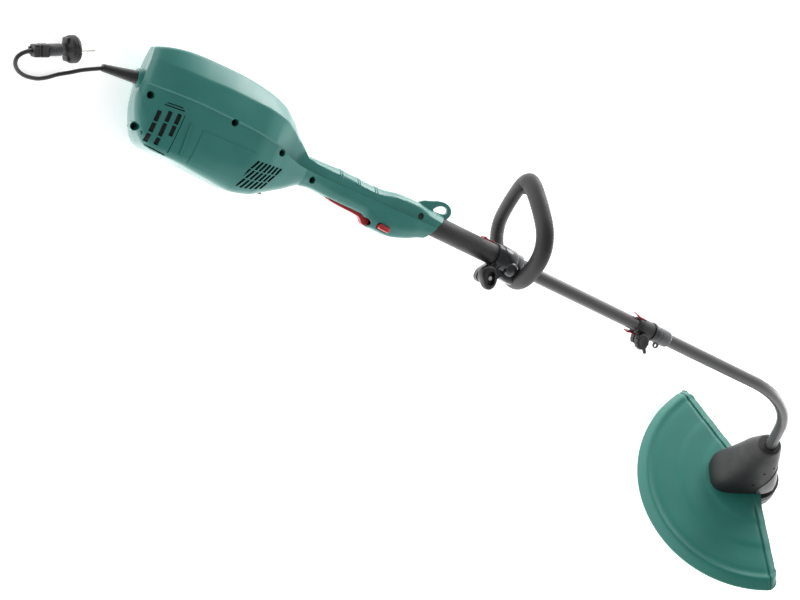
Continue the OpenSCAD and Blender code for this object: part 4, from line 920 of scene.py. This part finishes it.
# Grey plate over the front of the boot, cut off on a slant
plate = loft([boot_section((z, cx, a + 1.2, b + 1.2, q)) for z, cx, a, b, q in boot_rows[:19]])
trim(plate, (0, 0, 52), (-1.45, 0, 1), fill=True)
trim(plate, (-4, 0, 0), (-1, 0, 0), fill=True)
piece("head_plate", plate, HEAD, "lower_shaft", *GREY, ["head_panel"], round_edges=0.8)

# ---- Spool ----
drum = lathe([(42, -20), (44.4, -20), (45, -19.2), (45, 0), (44.2, 0.6), (44.2, 2.4), (45, 3), (45, 10.6),
              (43.6, 12), (4.2, 12), (4.2, 9), (42, 9)], 72)
drum_ob = bare("line_drum", drum, HEAD)
carve(drum_ob, [slab(circle(3.6, 24, (0, -5)), -48, -38, "X")], HEAD)
finish_piece(drum_ob, "spool", *BLACK, ["spool_housing"])
cap_line = polar(lambda a: 42 + 3 * (0.5 + 0.5 * math.cos(6 * a)) ** 0.5, 144)
cap_rings = [[(x * s, y * s, z) for x, y in cap_line]
             for s, z in ((1, -20.1), (1, -22), (0.985, -23.4), (0.94, -24))]
cap_rings += [[(x, y, z) for x, y in circle(r, 144)]
              for r, z in ((22, -24), (20, -23.4), (18.6, -22.6), (18.6, -20.1))]
piece("drum_cap", loft(cap_rings, closed=True), HEAD, "spool", *BLACK, ["spool_cap"])
bump_head = lathe([(0, -33), (9, -33), (14, -32.4), (16.8, -30.6), (18, -27.5), (18, -19.8), (20.4, -19.8),
                   (20.4, -18.4), (15, -18.4), (15, -30), (0, -30)], 56)
piece("tap_head", bump_head, HEAD, "tap_button", *BLACK, ["tap_button"])

# ---- Floor, light and the sweep behind ----
def sweep_material():
    """White paper sweep: plain white to the eye and in reflections, and it keeps the shadow."""
    made, tree, _ = start("white_paper_sweep")
    paper = add(tree, "ShaderNodeBsdfDiffuse", {"Color": linear("E8E8E8")})
    glow = add(tree, "ShaderNodeEmission", {"Color": linear("FFFFFF"), "Strength": 0.6})
    both = add(tree, "ShaderNodeAddShader", None, {0: paper.outputs[0], 1: glow.outputs[0]})
    # The sheet is lit from behind, so it throws light up into the object and shines in its rims
    back_light = add(tree, "ShaderNodeEmission", {"Color": linear("FFFFFF"), "Strength": 0.75})
    shine = add(tree, "ShaderNodeEmission", {"Color": linear("FFFFFF"), "Strength": 2.8})
    lit = add(tree, "ShaderNodeAddShader", None, {0: paper.outputs[0], 1: back_light.outputs[0]})
    rays = add(tree, "ShaderNodeLightPath")
    seen = add(tree, "ShaderNodeMath", {"operation": "MAXIMUM"},
               {0: rays.outputs["Is Camera Ray"], 1: rays.outputs["Is Transmission Ray"]})
    glossy = add(tree, "ShaderNodeMixShader", None,
                 {0: rays.outputs["Is Glossy Ray"], 1: lit.outputs[0], 2: shine.outputs[0]})
    surface(tree, add(tree, "ShaderNodeMixShader", None,
                      {0: seen.outputs[0], 1: glossy.outputs[0], 2: both.outputs[0]}))
    return made


floor_mesh = bmesh.new()
bmesh.ops.create_grid(floor_mesh, x_segments=1, y_segments=1, size=12)
floor = bare("floor", floor_mesh)
floor.data.materials.append(sweep_material())

world = bpy.data.worlds.new("studio")
scene.world = world
world.use_nodes = True
sky = world.node_tree
backdrop = sky.nodes["Background"]
# A white tent: bright behind and round the object, dimmer above the viewer's shoulder
direction = add(sky, "ShaderNodeTexCoord").outputs["Generated"]
towards = add(sky, "ShaderNodeVectorMath", {"operation": "DOT_PRODUCT", 1: (-0.5, 0.1, 0.86)}, {0: direction})
level = add(sky, "ShaderNodeMapRange", {"interpolation_type": "SMOOTHSTEP", "From Min": 0.1, "From Max": 0.72,
                                        "To Min": 1.7, "To Max": 0.34}, {"Value": towards.outputs["Value"]})
sky.links.new(level.outputs[0], backdrop.inputs["Strength"])
backdrop.inputs["Color"].default_value = linear("FFFFFF")


def lamp(name, place, aim_at, size, power):
    data = bpy.data.lights.new(name, "AREA")
    data.shape, data.size, data.energy = "DISK", size, power
    made = bpy.data.objects.new(name, data)
    scene.collection.objects.link(made)
    made.location = place
    made.rotation_euler = (Vector(aim_at) - Vector(place)).to_track_quat("-Z", "Y").to_euler()


lamp("top_softbox", (0.5, 2.2, 0.35), (-0.4, 0.2, 0.1), 1.4, 45)
lamp("front_softbox", (2.3, 0.5, 0.7), (0.3, 0, 0.1), 1.2, 16)
